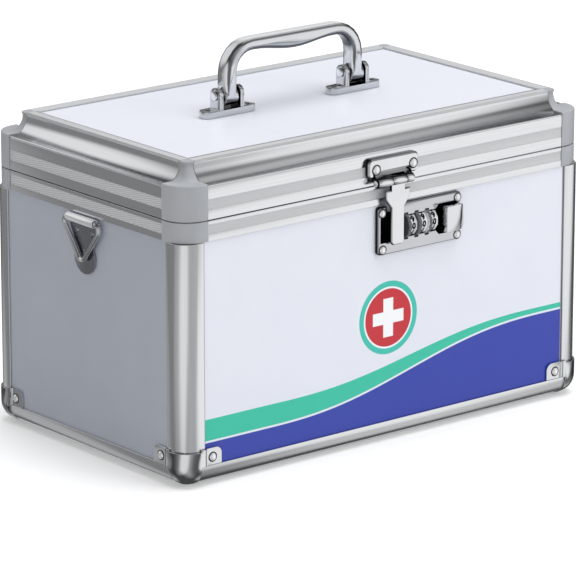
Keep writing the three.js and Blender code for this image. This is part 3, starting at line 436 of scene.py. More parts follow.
def extruded(name, colour, along):
    """Satin anodised aluminium: a soft sheen drawn out by faint lines along the length. They are
    drawn 0.4 mm apart, coarser than the die's own, so that they show."""
    made, tree, shader = finish(name, colour, 1, 0.22)
    place = add(tree, "ShaderNodeTexCoord").outputs["Object"]
    scale = [1 / (die_line_length if axis == along else die_line_gap) for axis in "xyz"]
    lines = add(tree, "ShaderNodeMapping", {"Vector": place, "Scale": scale})
    grain = add(tree, "ShaderNodeTexNoise", {"Vector": lines.outputs[0], "Scale": 1, "Detail": 2})
    tint = add(
        tree,
        "ShaderNodeMapRange",
        {"Value": grain.outputs["Fac"], **noise_span, "To Min": 0.94, "To Max": 1.02},
    )
    colour_here = add(
        tree,
        "ShaderNodeVectorMath",
        {0: linear(colour)[:3], "Scale": tint.outputs[0]},
        operation="SCALE",
    )
    rough = add(
        tree, "ShaderNodeMapRange", {"Value": grain.outputs["Fac"], "To Min": 0.17, "To Max": 0.27}
    )
    bump = add(
        tree, "ShaderNodeBump", {"Height": grain.outputs["Fac"], "Strength": 0.08, "Distance": 0.0001}
    )
    tree.links.new(colour_here.outputs[0], shader.inputs["Base Color"])
    tree.links.new(rough.outputs[0], shader.inputs["Roughness"])
    tree.links.new(bump.outputs[0], shader.inputs["Normal"])
    return made, tree, shader, colour_here.outputs[0], bump


upright = extruded("anodised_aluminium_upright", "E6E8EA", "z")[0]
along_front = extruded("anodised_aluminium_front", "E6E8EA", "x")[0]
along_side = extruded("anodised_aluminium_side", "E6E8EA", "y")[0]
eased("post_aluminium", upright, 0.0002, *[f"corner_post_{c}" for c in corners])
eased("aluminium", along_front, 0.0002, "bottom_rail_front", "bottom_rail_back")
eased("aluminium", along_side, 0.0002, "bottom_rail_left", "bottom_rail_right")


# Rim and lid rails
# The same extrusions with two bright stripes and a knurled band between them, rolled into the
# sunk part of the face. The lid rails rise over a bead and a cove to the flange on the panel.
knurl_pitch = 0.0012
knurl_slant = 0.285
band_levels = [(0.1458, 0.1513), (0.1599, 0.1657)]
flange_levels = (0.1842, 0.19)
case_middle = (0, 0.00105, 0)
# Thin lines of painted shadow along the flange, from the middle of the case to the front and to
# the left.
flange_shadow_lines = {
    "x": [(0.0702, 0.0718), (0.0771, 0.0775)],
    "y": [(0.1307, 0.1317), (0.137, 0.138)],
}


def between(tree, value, low, high):
    """One where a value lies between two limits, otherwise zero."""
    off = add(tree, "ShaderNodeMath", {0: value, 1: (low + high) / 2}, operation="SUBTRACT")
    off = add(tree, "ShaderNodeMath", {0: off.outputs[0]}, operation="ABSOLUTE")
    half = (high - low) / 2
    return add(tree, "ShaderNodeMath", {0: off.outputs[0], 1: half}, operation="LESS_THAN").outputs[0]


def banded(name, colour, along, knurl_painted_shades, relief_strength):
    """Anodised aluminium: its bands carry fine slanted lines of painted shade and scatter light, and
    so does the flange on the lid panel, which isn't polished. Thin lines of painted shadow run along
    the flange."""
    made, tree, shader, bright, lines = extruded(name, colour, along)
    place = add(tree, "ShaderNodeTexCoord").outputs["Object"]
    at = add(tree, "ShaderNodeSeparateXYZ", {0: place}).outputs
    run = add(tree, "ShaderNodeMath", {0: at["X"], 1: at["Y"]}, operation="ADD")
    slant = add(
        tree,
        "ShaderNodeMath",
        {0: run.outputs[0], 1: knurl_slant, 2: at["Z"]},
        operation="MULTIPLY_ADD",
    )
    turns = add(
        tree,
        "ShaderNodeMath",
        {0: slant.outputs[0], 1: 2 * math.pi / knurl_pitch},
        operation="MULTIPLY",
    )
    knurl = add(tree, "ShaderNodeMath", {0: turns.outputs[0]}, operation="SINE").outputs[0]
    bands = [between(tree, at["Z"], *levels) for levels in band_levels]
    band = add(tree, "ShaderNodeMath", {0: bands[0], 1: bands[1]}, operation="MAXIMUM").outputs[0]
    flange = between(tree, at["Z"], *flange_levels)
    matt = add(tree, "ShaderNodeMath", {0: band, 1: flange}, operation="MAXIMUM").outputs[0]
    relief = add(tree, "ShaderNodeMath", {0: knurl, 1: band}, operation="MULTIPLY").outputs[0]
    # The knurl's lines are painted light and dark: painted shade on the relief.
    shade = add(
        tree,
        "ShaderNodeMapRange",
        {"Value": relief, "From Min": -1, "To Min": knurl_painted_shades[0], "To Max": knurl_painted_shades[1]},
    )
    dull = add(
        tree, "ShaderNodeVectorMath", {0: bright, "Scale": shade.outputs[0]}, operation="SCALE"
    )
    colour_here = add(
        tree, "ShaderNodeMix", {0: matt, 6: bright, 7: dull.outputs[0]}, data_type="RGBA"
    )
    from_middle = add(
        tree, "ShaderNodeVectorMath", {0: place, 1: case_middle}, operation="SUBTRACT"
    )
    outward = add(
        tree, "ShaderNodeVectorMath", {0: from_middle.outputs[0], "Scale": -1}, operation="SCALE"
    )
    across = "Y" if along == "x" else "X"
    out = add(tree, "ShaderNodeSeparateXYZ", {0: outward.outputs[0]}).outputs[across]
    shadow_lines = [between(tree, out, *reach) for reach in flange_shadow_lines[along]]
    shadow_line = add(tree, "ShaderNodeMath", {0: shadow_lines[0], 1: shadow_lines[1]}, operation="MAXIMUM")
    shadow_line = add(tree, "ShaderNodeMath", {0: shadow_line.outputs[0], 1: flange}, operation="MULTIPLY")
    # Thin lines of painted shadow along the flange.
    colour_here = add(
        tree,
        "ShaderNodeMix",
        {0: shadow_line.outputs[0], 6: colour_here.outputs[2], 7: linear("84878C")},
        data_type="RGBA",
    )
    metal_here = add(tree, "ShaderNodeMapRange", {"Value": matt, "To Min": 1, "To Max": 0.15})
    rough_here = add(tree, "ShaderNodeMapRange", {"Value": matt, "To Min": 0.2, "To Max": 0.5})
    bump = add(
        tree,
        "ShaderNodeBump",
        {
            "Height": relief,
            "Strength": relief_strength,
            "Distance": 0.0002,
            "Normal": lines.outputs[0],
        },
    )
    tree.links.new(colour_here.outputs[2], shader.inputs["Base Color"])
    tree.links.new(metal_here.outputs[0], shader.inputs["Metallic"])
    tree.links.new(rough_here.outputs[0], shader.inputs["Roughness"])
    tree.links.new(bump.outputs[0], shader.inputs["Normal"])
    return made


# The knurl's lines are painted shade, with more contrast on the sides, where the light rakes them.
band_front = banded("knurled_aluminium_front", "E8EAEC", "x", (0.7, 0.755), 0.06)
band_side = banded("knurled_aluminium_side", "E8EAEC", "y", (0.6, 0.84), 0.3)
eased("banded_aluminium", band_front, 0.00015, "rim_rail_front", "rim_rail_back")
eased("banded_aluminium", band_side, 0.00015, "rim_rail_left", "rim_rail_right")
eased("lid_aluminium", band_front, 0.00015, "lid_rail_front", "lid_rail_back")
eased("lid_aluminium", band_side, 0.00015, "lid_rail_left", "lid_rail_right")


# Corner mouldings
# Injection moulded ABS in grey, pressed between the ends of the rails. The mould gives it a satin
# face with a fine grain.
drift_size = 0.02


def moulded(name, colour, roughness, grain_size):
    """Moulded plastic or paint: an even colour, with a gloss that its grain breaks up. The grain
    is drawn coarser than the real one, so that it shows."""
    made, tree, shader = finish(name, colour, 0, roughness)
    place = add(tree, "ShaderNodeTexCoord").outputs["Object"]
    grain = add(tree, "ShaderNodeTexNoise", {"Vector": place, "Scale": 1 / grain_size, "Detail": 3})
    drift = add(tree, "ShaderNodeTexNoise", {"Vector": place, "Scale": 1 / drift_size, "Detail": 2})
    tint = add(
        tree,
        "ShaderNodeMapRange",
        {"Value": drift.outputs["Fac"], **noise_span, "To Min": 0.96, "To Max": 1.03},
    )
    colour_here = add(
        tree,
        "ShaderNodeVectorMath",
        {0: linear(colour)[:3], "Scale": tint.outputs[0]},
        operation="SCALE",
    )
    rough = add(
        tree,
        "ShaderNodeMapRange",
        {"Value": grain.outputs["Fac"], "To Min": roughness - 0.06, "To Max": roughness + 0.08},
    )
    bump = add(
        tree, "ShaderNodeBump", {"Height": grain.outputs["Fac"], "Strength": 0.15, "Distance": 0.0001}
    )
    tree.links.new(colour_here.outputs[0], shader.inputs["Base Color"])
    tree.links.new(rough.outputs[0], shader.inputs["Roughness"])
    tree.links.new(bump.outputs[0], shader.inputs["Normal"])
    return made


grey_abs = moulded("moulded_grey_abs", "A8ABAF", 0.36, 0.0006)
eased("corner_moulding", grey_abs, 0.0003, *[f"rim_corner_{c}" for c in corners])
eased("corner_moulding", grey_abs, 0.0003, *[f"lid_corner_{c}" for c in corners])


# Foot corners
# Three-way corners pressed from steel sheet and bright chromed, with an ear riveted on each side.
# A dark reflection of the room is painted into the chrome along the bend of the round corner,
# and a thin painted shadow marks the step where each ear leaves it.
cloud_size = 0.012
wave_size = 0.006
haze = 0.03
foot_round = 0.0125
round_soft = 0.001
bend_reflection_depth = 0.8
ear_step_half = 0.0004
ear_step_shadow_depth = 0.75


def plated(name, colour, roughness):
    """Plated steel: a clear mirror over the sheet's gentle waves, a little hazier here and there."""
    made, tree, shader = finish(name, colour, 1, roughness)
    place = add(tree, "ShaderNodeTexCoord").outputs["Object"]
    cloud = add(tree, "ShaderNodeTexNoise", {"Vector": place, "Scale": 1 / cloud_size, "Detail": 4})
    rough = add(
        tree,
        "ShaderNodeMapRange",
        {
            "Value": cloud.outputs["Fac"],
            **noise_span,
            "To Min": max(0.02, roughness - haze),
            "To Max": roughness + haze,
        },
    )
    waves = add(tree, "ShaderNodeTexNoise", {"Vector": place, "Scale": 1 / wave_size, "Detail": 1})
    bump = add(
        tree, "ShaderNodeBump", {"Height": waves.outputs["Fac"], "Strength": 0.05, "Distance": 0.0002}
    )
    tint = add(
        tree,
        "ShaderNodeMapRange",
        {"Value": cloud.outputs["Fac"], **noise_span, "To Min": 0.96, "To Max": 1.0},
    )
    colour_here = add(
        tree,
        "ShaderNodeVectorMath",
        {0: linear(colour)[:3], "Scale": tint.outputs[0]},
        operation="SCALE",
    )
    tree.links.new(colour_here.outputs[0], shader.inputs["Base Color"])
    tree.links.new(rough.outputs[0], shader.inputs["Roughness"])
    tree.links.new(bump.outputs[0], shader.inputs["Normal"])
    return made, tree, shader, colour_here.outputs[0], place


foot_chrome, tree, shader, bright, place = plated("chromed_pressed_steel", "E0E2E4", 0.15)
facing = add(tree, "ShaderNodeTexCoord").outputs["Normal"]
facing = add(tree, "ShaderNodeVectorMath", {0: facing}, operation="ABSOLUTE")
facing = add(tree, "ShaderNodeSeparateXYZ", {0: facing.outputs[0]}).outputs
flatness = add(tree, "ShaderNodeMath", {0: facing["X"], 1: facing["Y"]}, operation="MAXIMUM")
bent = add(
    tree,
    "ShaderNodeMapRange",
    {"Value": flatness.outputs[0], "From Min": 0.8, "From Max": 0.97},
    interpolation_type="SMOOTHSTEP",
)
not_flat = add(
    tree,
    "ShaderNodeMapRange",
    {
        "Value": flatness.outputs[0],
        "From Min": 0.985,
        "From Max": 0.998,
        "To Min": bend_reflection_depth,
        "To Max": 0,
    },
)
painted_dark = add(
    tree, "ShaderNodeMath", {0: bent.outputs[0], 1: not_flat.outputs[0]}, operation="MULTIPLY"
)
from_middle = add(tree, "ShaderNodeVectorMath", {0: place, 1: case_middle}, operation="SUBTRACT")
from_middle = add(tree, "ShaderNodeVectorMath", {0: from_middle.outputs[0]}, operation="ABSOLUTE")
out = add(tree, "ShaderNodeSeparateXYZ", {0: from_middle.outputs[0]}).outputs
for way, half in case_half.items():
    round_from = half - foot_round
    round_part = add(
        tree,
        "ShaderNodeMapRange",
        {"Value": out[way], "From Min": round_from - round_soft, "From Max": round_from},
    )
    painted_dark = add(
        tree, "ShaderNodeMath", {0: painted_dark.outputs[0], 1: round_part.outputs[0]}, operation="MULTIPLY"
    )
for way, half in case_half.items():
    step = half - post_width
    line = between(tree, out[way], step - ear_step_half, step + ear_step_half)
    line = add(tree, "ShaderNodeMath", {0: line, 1: ear_step_shadow_depth}, operation="MULTIPLY")
    painted_dark = add(
        tree, "ShaderNodeMath", {0: painted_dark.outputs[0], 1: line.outputs[0]}, operation="MAXIMUM"
    )
# Painted reflection of the dark room along the bend, and painted shadow at the ear steps.
foot_colour = add(
    tree, "ShaderNodeMix", {0: painted_dark.outputs[0], 6: bright, 7: linear("3A3C40")}, data_type="RGBA"
)
tree.links.new(foot_colour.outputs[2], shader.inputs["Base Color"])
eased("foot_chrome", foot_chrome, 0.0002, *[f"foot_corner_{c}" for c in corners])


# Lock
# A chromed pressed plate with a slot for the hook and a window for three number dials and the
# knob. Behind it lies a black case with the axle and its spring.
edge_shade_from = 0.58
edge_shade_to = 0.84
shade_behind = -0.0905

# Clear, even chrome on the pins and the hook.
bright_chrome = plated("bright_chrome", "E2E4E7", 0.08)[0]
# Bare steel with a blurred grey shine, on the axle, the spring and the screws.
dark_steel = plated("plain_steel", "8D8F93", 0.3)[0]
# Black paint on cast zinc, matt with a little grain.
lock_black = moulded("black_zinc_paint", "141517", 0.5, 0.0008)


def edged(name, colour, roughness, edge_shade_colour, axis):
    """Chrome on the faces along one axis. The pressed edges round them are painted dark, a painted
    reflection of the dark room.
    """
    made, tree, shader, bright = plated(name, colour, roughness)[:4]
    facing = add(tree, "ShaderNodeTexCoord").outputs["Normal"]
    facing = add(tree, "ShaderNodeSeparateXYZ", {0: facing}).outputs[axis]
    facing = add(tree, "ShaderNodeMath", {0: facing}, operation="ABSOLUTE")
    edge = add(
        tree,
        "ShaderNodeMapRange",
        {
            "Value": facing.outputs[0],
            "From Min": edge_shade_from,
            "From Max": edge_shade_to,
            "To Min": 1,
            "To Max": 0,
        },
    )
    mixed = add(
        tree, "ShaderNodeMix", {0: edge.outputs[0], 6: bright, 7: linear(edge_shade_colour)}, data_type="RGBA"
    )
    tree.links.new(mixed.outputs[2], shader.inputs["Base Color"])
    return made


# The lock plate's edges carry a painted dark reflection.
lock_plate_chrome = edged("chromed_lock_plate", "CACCCF", 0.09, "202124", "Y")
# The knob is bright chrome. Behind the plate's face its arm is painted near black: painted shade
# in the window.
slide_chrome, tree, shader, bright, place = plated("chromed_knob_blackened_arm", "E2E4E7", 0.1)
at = add(tree, "ShaderNodeSeparateXYZ", {0: place}).outputs
# Painted shade on the arm behind the plate's face.
behind = add(tree, "ShaderNodeMath", {0: at["Y"], 1: shade_behind}, operation="GREATER_THAN")
knob_colour = add(
    tree, "ShaderNodeMix", {0: behind.outputs[0], 6: bright, 7: linear("101113")}, data_type="RGBA"
)
tree.links.new(knob_colour.outputs[2], shader.inputs["Base Color"])

eased("lock_chrome", lock_plate_chrome, 0.0003, "lock_plate")
eased("lock_chrome", slide_chrome, 0.0005, "lock_slide")
eased("lock_black", lock_black, 0.0002, "lock_case")
eased("steel", dark_steel, 0.0001, "dial_axle", "dial_spring")


# Number dials
# Turned zinc, plated bright on the ten flats and dark on the notched flange that the thumb moves.
# The numbers are filled with black enamel.
dials = {"dial_1": "dial_left", "dial_2": "dial_middle", "dial_3": "dial_right"}
flange_width = 0.0022
band_radius = 0.0068
flats = 10
digit_height = 0.0034
# A number is this share of the letter size high.
figure_share = 0.7
digit_swell = 0.0003
digit_proud = 0.00003
first_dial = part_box("dial_1")[0].x
dial_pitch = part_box("dial_2")[0].x - first_dial

# Pale plating with a soft shine that shows little of the room.
dial_metal, tree, shader, bright, place = plated("plated_zinc_dial", "F0F1F3", 0.25)
shader.inputs["Metallic"].default_value = 0.3
at = add(tree, "ShaderNodeSeparateXYZ", {0: place}).outputs
from_first = add(tree, "ShaderNodeMath", {0: at["X"], 1: first_dial}, operation="SUBTRACT")
from_left = add(
    tree, "ShaderNodeMath", {0: from_first.outputs[0], 1: dial_pitch}, operation="MODULO"
)
on_flange = add(
    tree, "ShaderNodeMath", {0: from_left.outputs[0], 1: flange_width}, operation="LESS_THAN"
)
dial_colour = add(
    tree, "ShaderNodeMix", {0: on_flange.outputs[0], 6: bright, 7: linear("66686C")}, data_type="RGBA"
)
tree.links.new(dial_colour.outputs[2], shader.inputs["Base Color"])
eased("dial_metal", dial_metal, 0.00012, *dials)

# Flat black that hardly catches the light.
black_enamel = finish("black_enamel", "08090A", 0, 0.5, Specular_IOR_Level=0.1)[0]


def digit_shape(text):
    """A number as a flat mesh, its middle on the origin and its face towards +Z."""
    letter = bpy.data.curves.new(f"digit_{text}", "FONT")
    letter.body = text
    letter.size = digit_height / figure_share
    letter.offset = digit_swell
    letter.resolution_u = 3
    holder = show(letter, letter.name)
    graph = bpy.context.evaluated_depsgraph_get()
    mesh = bpy.data.meshes.new_from_object(holder.evaluated_get(graph))
    bpy.data.objects.remove(holder)
    spots = [vertex.co for vertex in mesh.vertices]
    middle = [(min(s[a] for s in spots) + max(s[a] for s in spots)) / 2 for a in (0, 1)]
    mesh.transform(Matrix.Translation((-middle[0], -middle[1], 0)))
    return mesh


digit_meshes = [digit_shape(str(number)) for number in range(flats)]
face_out = band_radius * math.cos(math.pi / flats) + digit_proud
onto_flat = Matrix.Translation((0, -face_out, 0)) @ Matrix.Rotation(math.pi / 2, 4, "X")
for dial, body in dials.items():
    low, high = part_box(dial)
    band_middle = (low + high) / 2 + Vector((flange_width / 2, 0, 0))
    numbers = bmesh.new()
    for number, mesh in enumerate(digit_meshes):
        placed = mesh.copy()
        turned = Matrix.Rotation(2 * math.pi * number / flats, 4, "X")
        placed.transform(Matrix.Translation(band_middle) @ turned @ onto_flat)
        numbers.from_mesh(placed)
        bpy.data.meshes.remove(placed)
    printed_numbers = show(meshed(numbers, f"{dial}.numbers"), f"{dial}.numbers", black_enamel)
    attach(printed_numbers, body)
for mesh in digit_meshes:
    bpy.data.meshes.remove(mesh)


# Hasp
# A pressed and chromed plate on the lid with two knuckles, and a flap that swings on the pin
# between them. The hook behind the flap reaches into the lock.
# The hasp plate's edges carry a painted dark reflection.
hasp_plate_chrome = edged("chromed_hasp_plate", "E4E6E8", 0.09, "1A1B1E", "Y")
eased("hasp_chrome", hasp_plate_chrome, 0.0006, "hasp_plate", "hasp")
eased("hasp_chrome", bright_chrome, 0.0002, "hasp_hook")
eased("steel", bright_chrome, 0.00015, "hasp_pin")


# Handle
# A cast zinc bail, polished and nickel plated, that folds flat to either side. Its top and one flank
# carry a pale painted highlight, its underside painted shade, and darker streaks of painted
# reflection run along the grip and the legs.
highlight_top = {"From Min": 0.8, "From Max": 0.96}
painted_shade_under = {"From Min": -0.03, "From Max": -0.3}
# Of each streak: the way the surface faces, the cosines where it starts and is full, its depth.
highlight_flank = ((-0.92, -0.39, 0), 0.9, 0.97, 0.95)
leg_reflection = ((-0.6, -0.8, 0), 0.85, 0.96, 0.7)
grip_reflection = ((0, -0.87, 0.49), 0.95, 0.995, 0.6)

# A mirror of nickel, whiter and softer where the highlight is painted.
polished_nickel, tree, shader, bright = plated("polished_nickel_casting", "DADCDF", 0.08)[:4]
way_out = add(tree, "ShaderNodeTexCoord").outputs["Normal"]
facing = add(tree, "ShaderNodeSeparateXYZ", {0: way_out}).outputs["Z"]


def streak(way, start, full, depth):
    """How much of a streak lies here, by how nearly the surface faces its way."""
    near = add(tree, "ShaderNodeVectorMath", {0: way_out, 1: way}, operation="DOT_PRODUCT")
    here = add(
        tree,
        "ShaderNodeMapRange",
        {"Value": near.outputs["Value"], "From Min": start, "From Max": full, "To Max": depth},
        interpolation_type="SMOOTHSTEP",
    )
    return here.outputs[0]


top = add(tree, "ShaderNodeMapRange", {"Value": facing, **highlight_top})
highlight = add(
    tree, "ShaderNodeMath", {0: top.outputs[0], 1: streak(*highlight_flank)}, operation="MAXIMUM"
).outputs[0]
underside_shade = add(tree, "ShaderNodeMapRange", {"Value": facing, **painted_shade_under}).outputs[0]
# Painted highlight on the top and a flank, painted shade underneath, painted reflection in streaks.
layers = [
    (streak(*leg_reflection), "2E3033"),
    (streak(*grip_reflection), "2E3033"),
    (highlight, "F0F1F2"),
    (underside_shade, "5A5C60"),
]
for share, colour in layers:
    bright = add(
        tree, "ShaderNodeMix", {0: share, 6: bright, 7: linear(colour)}, data_type="RGBA"
    ).outputs[2]
handle_metal = add(tree, "ShaderNodeMapRange", {"Value": highlight, "To Min": 1, "To Max": 0.3})
tree.links.new(bright, shader.inputs["Base Color"])
tree.links.new(handle_metal.outputs[0], shader.inputs["Metallic"])
eased("handle_metal", polished_nickel, 0.0002, "handle")


# Handle brackets
# Bent from steel sheet and bright chromed, screwed down on the lid, with a pin through the two
# ears of each. Between the ears, above the base, they are painted near black.
bracket_middle = 0.047
bracket_low, bracket_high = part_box("handle_bracket_left")
ear_gap_half = 0.006
bracket_base = 0.004
paint_over = 0.0003
bracket_chrome, tree, shader, bright, place = plated("chromed_bracket_steel", "C8CACD", 0.07)
at = add(tree, "ShaderNodeSeparateXYZ", {0: place}).outputs
off = add(tree, "ShaderNodeMath", {0: at["X"]}, operation="ABSOLUTE")
gap_low = bracket_middle - ear_gap_half - paint_over
gap_high = bracket_middle + ear_gap_half + paint_over
inside = between(tree, off.outputs[0], gap_low, gap_high)
over_base = add(
    tree,
    "ShaderNodeMath",
    {0: at["Z"], 1: bracket_low.z + bracket_base - paint_over},
    operation="GREATER_THAN",
)
gap = add(tree, "ShaderNodeMath", {0: inside, 1: over_base.outputs[0]}, operation="MULTIPLY")
# Near black between the ears, above the base.
bracket_colour = add(
    tree, "ShaderNodeMix", {0: gap.outputs[0], 6: bright, 7: linear("17181A")}, data_type="RGBA"
)
tree.links.new(bracket_colour.outputs[2], shader.inputs["Base Color"])
eased("bracket_chrome", bracket_chrome, 0.0003, "handle_bracket_left", "handle_bracket_right")
eased("steel", bright_chrome, 0.0002, "handle_pin_left", "handle_pin_right")


# Side rings
# A steel plate rolled over into a tube that holds a bent wire ring, on each end of the case. The
# plate is dark from its plating, and the tube is painted paler, a painted highlight.
tube_bottom = 0.1362
ring_steel, tree, shader, bright, place = plated("dark_plated_steel", "A9ABB0", 0.2)
at = add(tree, "ShaderNodeSeparateXYZ", {0: place}).outputs
on_tube = add(tree, "ShaderNodeMath", {0: at["Z"], 1: tube_bottom}, operation="GREATER_THAN")
# Painted highlight on the tube.
ring_colour = add(
    tree, "ShaderNodeMix", {0: on_tube.outputs[0], 6: bright, 7: linear("ECEEF0")}, data_type="RGBA"
)
tube_metal = add(
    tree, "ShaderNodeMapRange", {"Value": on_tube.outputs[0], "To Min": 1, "To Max": 0.6}
)
tree.links.new(ring_colour.outputs[2], shader.inputs["Base Color"])
tree.links.new(tube_metal.outputs[0], shader.inputs["Metallic"])
# Nickel on drawn wire, bright with narrow lights along it.
ring_wire = plated("nickel_plated_wire", "E2E4E7", 0.12)[0]
eased("ring_steel", ring_steel, 0.0002, "ring_plate_left", "ring_plate_right")
eased("ring_wire", ring_wire, 0.0001, "ring_left", "ring_right")


# Hinges
# Two butt hinges of plated steel sheet, their knuckles rolled round a pin. Three rivets hold each
# leaf, to the rim and to the lid. The plating has a soft grey shine.
hinge_steel = plated("hinge_plated_steel", "BCBEC2", 0.2)[0]
hinges = [f"hinge_leaf_{part}_{side}" for part in ("body", "lid") for side in ("left", "right")]
eased("hinge_steel", hinge_steel, 0.0002, *hinges)


# Rivets and screws
# Domed steel rivets hold the foot corners, the lock, the hasp, the hinges and the ring plates, and
# cross-headed countersunk screws the handle brackets. Each head stands on the sheet that it holds.
rivet_rings = 5
rivet_sides = 20
screw_sides = 24
# The sizes of a head, as shares of its radius.
skirt_radius = 1.26
skirt_bottom = -0.08
skirt_top = 0.03
dome_foot = 0.05
dome_base = 0.06
dome_rise = 0.42
screw_bottom = -0.25
slot_arm = 0.62
slot_half = 0.17
slot_depth = 0.3


def ring_of(shape, sides, radius, height):
    """A ring of points round the axis of a head."""
    turns = [2 * math.pi * side / sides for side in range(sides)]
    return [shape.verts.new((radius * math.cos(t), radius * math.sin(t), height)) for t in turns]


def walled(shape, lower, upper):
    """Faces from one closed row of points to the next."""
    for side in range(len(lower)):
        after = (side + 1) % len(lower)
        shape.faces.new((lower[side], lower[after], upper[after], upper[side]))


def rivet_head(name):
    """A rivet head one metre in radius: a dome in a thin skirt, which an attribute marks for the
    painted shadow ring.
    """
    profile = [(skirt_radius, skirt_bottom, 1), (skirt_radius, skirt_top, 1), (1, dome_foot, 1)]
    for ring in range(rivet_rings):
        turn = math.pi / 2 * ring / rivet_rings
        profile.append((math.cos(turn), dome_base + dome_rise * math.sin(turn), 0))
    shape = bmesh.new()
    skirt = shape.verts.layers.float.new("skirt")
    rings = []
    for radius, height, mark in profile:
        ring = ring_of(shape, rivet_sides, radius, height)
        for vertex in ring:
            vertex[skirt] = mark
        rings.append(ring)
    top = shape.verts.new((0, 0, dome_base + dome_rise))
    for lower, upper in zip(rings, rings[1:]):
        walled(shape, lower, upper)
    for side in range(rivet_sides):
        shape.faces.new((rings[-1][side], rings[-1][(side + 1) % rivet_sides], top))
    shape.faces.new(list(reversed(rings[0])))
    for face in shape.faces:
        face.smooth = True
    return bpy.data.objects.new(name, meshed(shape, name))


def screw_head(name):
    """A countersunk head one metre in radius with a cross sunk into its flat top."""
    shape = bmesh.new()
    rim = ring_of(shape, screw_sides, 1, 0)
    quarter = [(slot_arm, -slot_half), (slot_arm, slot_half), (slot_half, slot_half)]
    cross = []
    for arm in range(4):
        turned = Matrix.Rotation(math.pi / 2 * arm, 3, "Z")
        cross += [shape.verts.new(turned @ Vector((x, y, 0))) for x, y in quarter]
    edges = []
    for loop in (rim, cross):
        for start, end in zip(loop, loop[1:] + loop[:1]):
            edges.append(shape.edges.new((start, end)))
    bmesh.ops.triangle_fill(shape, edges=edges, use_beauty=True, normal=(0, 0, 1))
    for face in list(shape.faces):
        if all(vertex in cross for vertex in face.verts):
            shape.faces.remove(face)
    slot_floor = [shape.verts.new(vertex.co - Vector((0, 0, slot_depth))) for vertex in cross]
    bottom = [shape.verts.new((vertex.co.x, vertex.co.y, screw_bottom)) for vertex in rim]
    walled(shape, cross, slot_floor)
    walled(shape, rim, bottom)
    shape.faces.new(slot_floor)
    bmesh.ops.recalc_face_normals(shape, faces=shape.faces)
    return bpy.data.objects.new(name, meshed(shape, name))


def fastener_tree():
    """Geometry Nodes: a head on each point, of the point's radius, turned to its way out."""
    tree = bpy.data.node_groups.new("fasteners", "GeometryNodeTree")
    face = tree.interface
    face.new_socket("Geometry", in_out="INPUT", socket_type="NodeSocketGeometry")
    face.new_socket("Head", in_out="INPUT", socket_type="NodeSocketObject")
    face.new_socket("Finish", in_out="INPUT", socket_type="NodeSocketMaterial")
    face.new_socket("Geometry", in_out="OUTPUT", socket_type="NodeSocketGeometry")
    given = add(tree, "NodeGroupInput").outputs
    head = add(tree, "GeometryNodeObjectInfo", {"Object": given["Head"]})
    way_out = add(
        tree, "GeometryNodeInputNamedAttribute", {"Name": "way_out"}, data_type="FLOAT_VECTOR"
    )
    radius = add(tree, "GeometryNodeInputNamedAttribute", {"Name": "radius"}, data_type="FLOAT")
    turned = add(
        tree, "FunctionNodeAlignRotationToVector", {"Vector": way_out.outputs["Attribute"]}, axis="Z"
    )
    heads = add(
        tree,
        "GeometryNodeInstanceOnPoints",
        {
            "Points": given["Geometry"],
            "Instance": head.outputs["Geometry"],
            "Rotation": turned.outputs["Rotation"],
            "Scale": radius.outputs["Attribute"],
        },
    )
    real = add(tree, "GeometryNodeRealizeInstances", {"Geometry": heads.outputs["Instances"]})
    painted = add(
        tree,
        "GeometryNodeSetMaterial",
        {"Geometry": real.outputs["Geometry"], "Material": given["Finish"]},
    )
    add(tree, "NodeGroupOutput", {"Geometry": painted.outputs["Geometry"]})
    return tree


fasteners = fastener_tree()
inputs = [item for item in fasteners.interface.items_tree if item.in_out == "INPUT"]
sockets = {item.name: item.identifier for item in inputs}


def fastened(name, body, head, material, places):
    """The heads that ride on one body: places holds a point, the way out and a radius for each."""
    points = bpy.data.meshes.new(f"{name}.points")
    points.from_pydata([place for place, _, _ in places], [], [])
    way_out = points.attributes.new("way_out", "FLOAT_VECTOR", "POINT")
    way_out.data.foreach_set("vector", [v for _, way, _ in places for v in way])
    radius = points.attributes.new("radius", "FLOAT", "POINT")
    radius.data.foreach_set("value", [size for _, _, size in places])
    holder = show(points, f"{name}.points")
    modifier = holder.modifiers.new("fasteners", "NODES")
    modifier.node_group = fasteners
    modifier[sockets["Head"]] = head
    modifier[sockets["Finish"]] = material
    graph = bpy.context.evaluated_depsgraph_get()
    mesh = bpy.data.meshes.new_from_object(holder.evaluated_get(graph))
    bpy.data.objects.remove(holder)
    made = show(mesh, name)
    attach(made, body)


# A pale dome that catches the cards all round, in a dark ring of painted shadow.
rivet_steel, tree, shader, bright = plated("bright_rivet_steel", "F4F5F6", 0.16)[:4]
shader.inputs["Metallic"].default_value = 0.55
skirt = add(tree, "ShaderNodeAttribute", attribute_name="skirt")
# Painted shadow on the skirt round each dome.
rivet_colour = add(
    tree, "ShaderNodeMix", {0: skirt.outputs["Fac"], 6: bright, 7: linear("1E1F21")}, data_type="RGBA"
)
tree.links.new(rivet_colour.outputs[2], shader.inputs["Base Color"])
dome = rivet_head("rivet_head")
cross_head = screw_head("screw_head")

small_rivet_radius = 0.0015
ring_plate_out = 0.1504
ring_rivet_places = [(-0.007, 0.132), (0.007, 0.132), (0, 0.12)]
ring_rivets = [
    ((side * ring_plate_out, case_middle[1] + y, z), (side, 0, 0), small_rivet_radius)
    for side in (-1, 1)
    for y, z in ring_rivet_places
]
fastened("ring_rivets", "case", dome, ring_steel, ring_rivets)

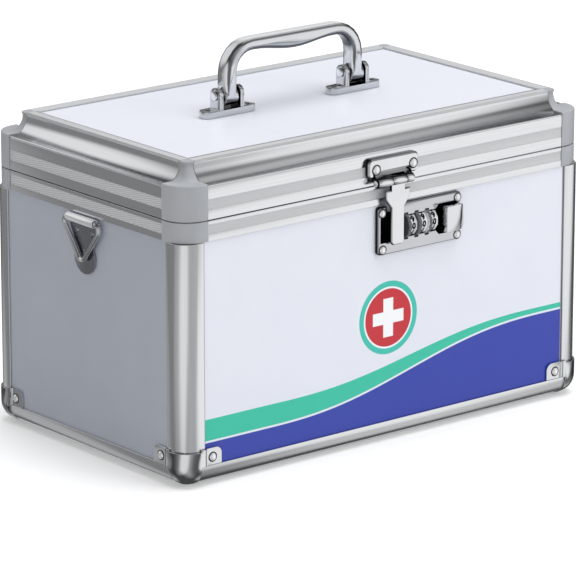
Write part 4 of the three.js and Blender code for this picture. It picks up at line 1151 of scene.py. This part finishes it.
foot_rivet_in = 0.0205
foot_rivet_up = 0.0168
foot_rivet_radius = 0.0024
ear_proud = 0.0002
case_rivets = []
for way_x in (-1, 1):
    for way_y in (-1, 1):
        x = way_x * case_half["X"]
        y = case_middle[1] + way_y * case_half["Y"]
        on_face = (x - way_x * foot_rivet_in, y + way_y * ear_proud, foot_rivet_up)
        on_side = (x + way_x * ear_proud, y - way_y * foot_rivet_in, foot_rivet_up)
        case_rivets.append((on_face, (0, way_y, 0), foot_rivet_radius))
        case_rivets.append((on_side, (way_x, 0, 0), foot_rivet_radius))

lock_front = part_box("lock_plate")[0].y
lock_rivets = [(-0.007, 0.1156), (-0.0073, 0.1372), (0.0493, 0.1374), (0.0493, 0.1154)]
lock_rivet_radius = 0.0023
for x, z in lock_rivets:
    case_rivets.append(((x, lock_front, z), (0, -1, 0), lock_rivet_radius))

leaf_back = 0.09195
leaf_middle = 0.085
leaf_rivet_reach = 0.0165
body_leaf_up = 0.1471
lid_leaf_up = 0.1632


def leaf_rivets(up):
    """The rivets of two hinge leaves at one height, three in each."""
    return [
        ((side * leaf_middle + reach, leaf_back, up), (0, 1, 0), small_rivet_radius)
        for side in (-1, 1)
        for reach in (-leaf_rivet_reach, 0, leaf_rivet_reach)
    ]


case_rivets += leaf_rivets(body_leaf_up)
fastened("case_rivets", "case", dome, rivet_steel, case_rivets)

hasp_front = -0.09165
hasp_rivet_up = 0.1638
hasp_rivet_across = (-0.013, 0.0145)
hasp_rivet_radius = 0.0026
lid_rivets = [
    ((x, hasp_front, hasp_rivet_up), (0, -1, 0), hasp_rivet_radius) for x in hasp_rivet_across
]
lid_rivets += leaf_rivets(lid_leaf_up)
fastened("lid_rivets", "lid", dome, rivet_steel, lid_rivets)

bracket_depth = (bracket_low.y + bracket_high.y) / 2
screw_top = 0.1883
screw_reach = 0.0145
screw_radius = 0.0019
screws = [
    ((side * bracket_middle + reach, bracket_depth, screw_top), (0, 0, 1), screw_radius)
    for side in (-1, 1)
    for reach in (-screw_reach, screw_reach)
]
fastened("bracket_screws", "lid", cross_head, dark_steel, screws)


# Tray
# Vacuum-formed white polypropylene with one long pocket and three small ones, milky with a waxy
# shine. Its rim lies on the rib round the mouth of the case, and it lifts out.
white_pp = moulded("formed_white_polypropylene", "E8ECEF", 0.4, 0.0012)
eased("tray_plastic", white_pp, 0.0004, "tray")
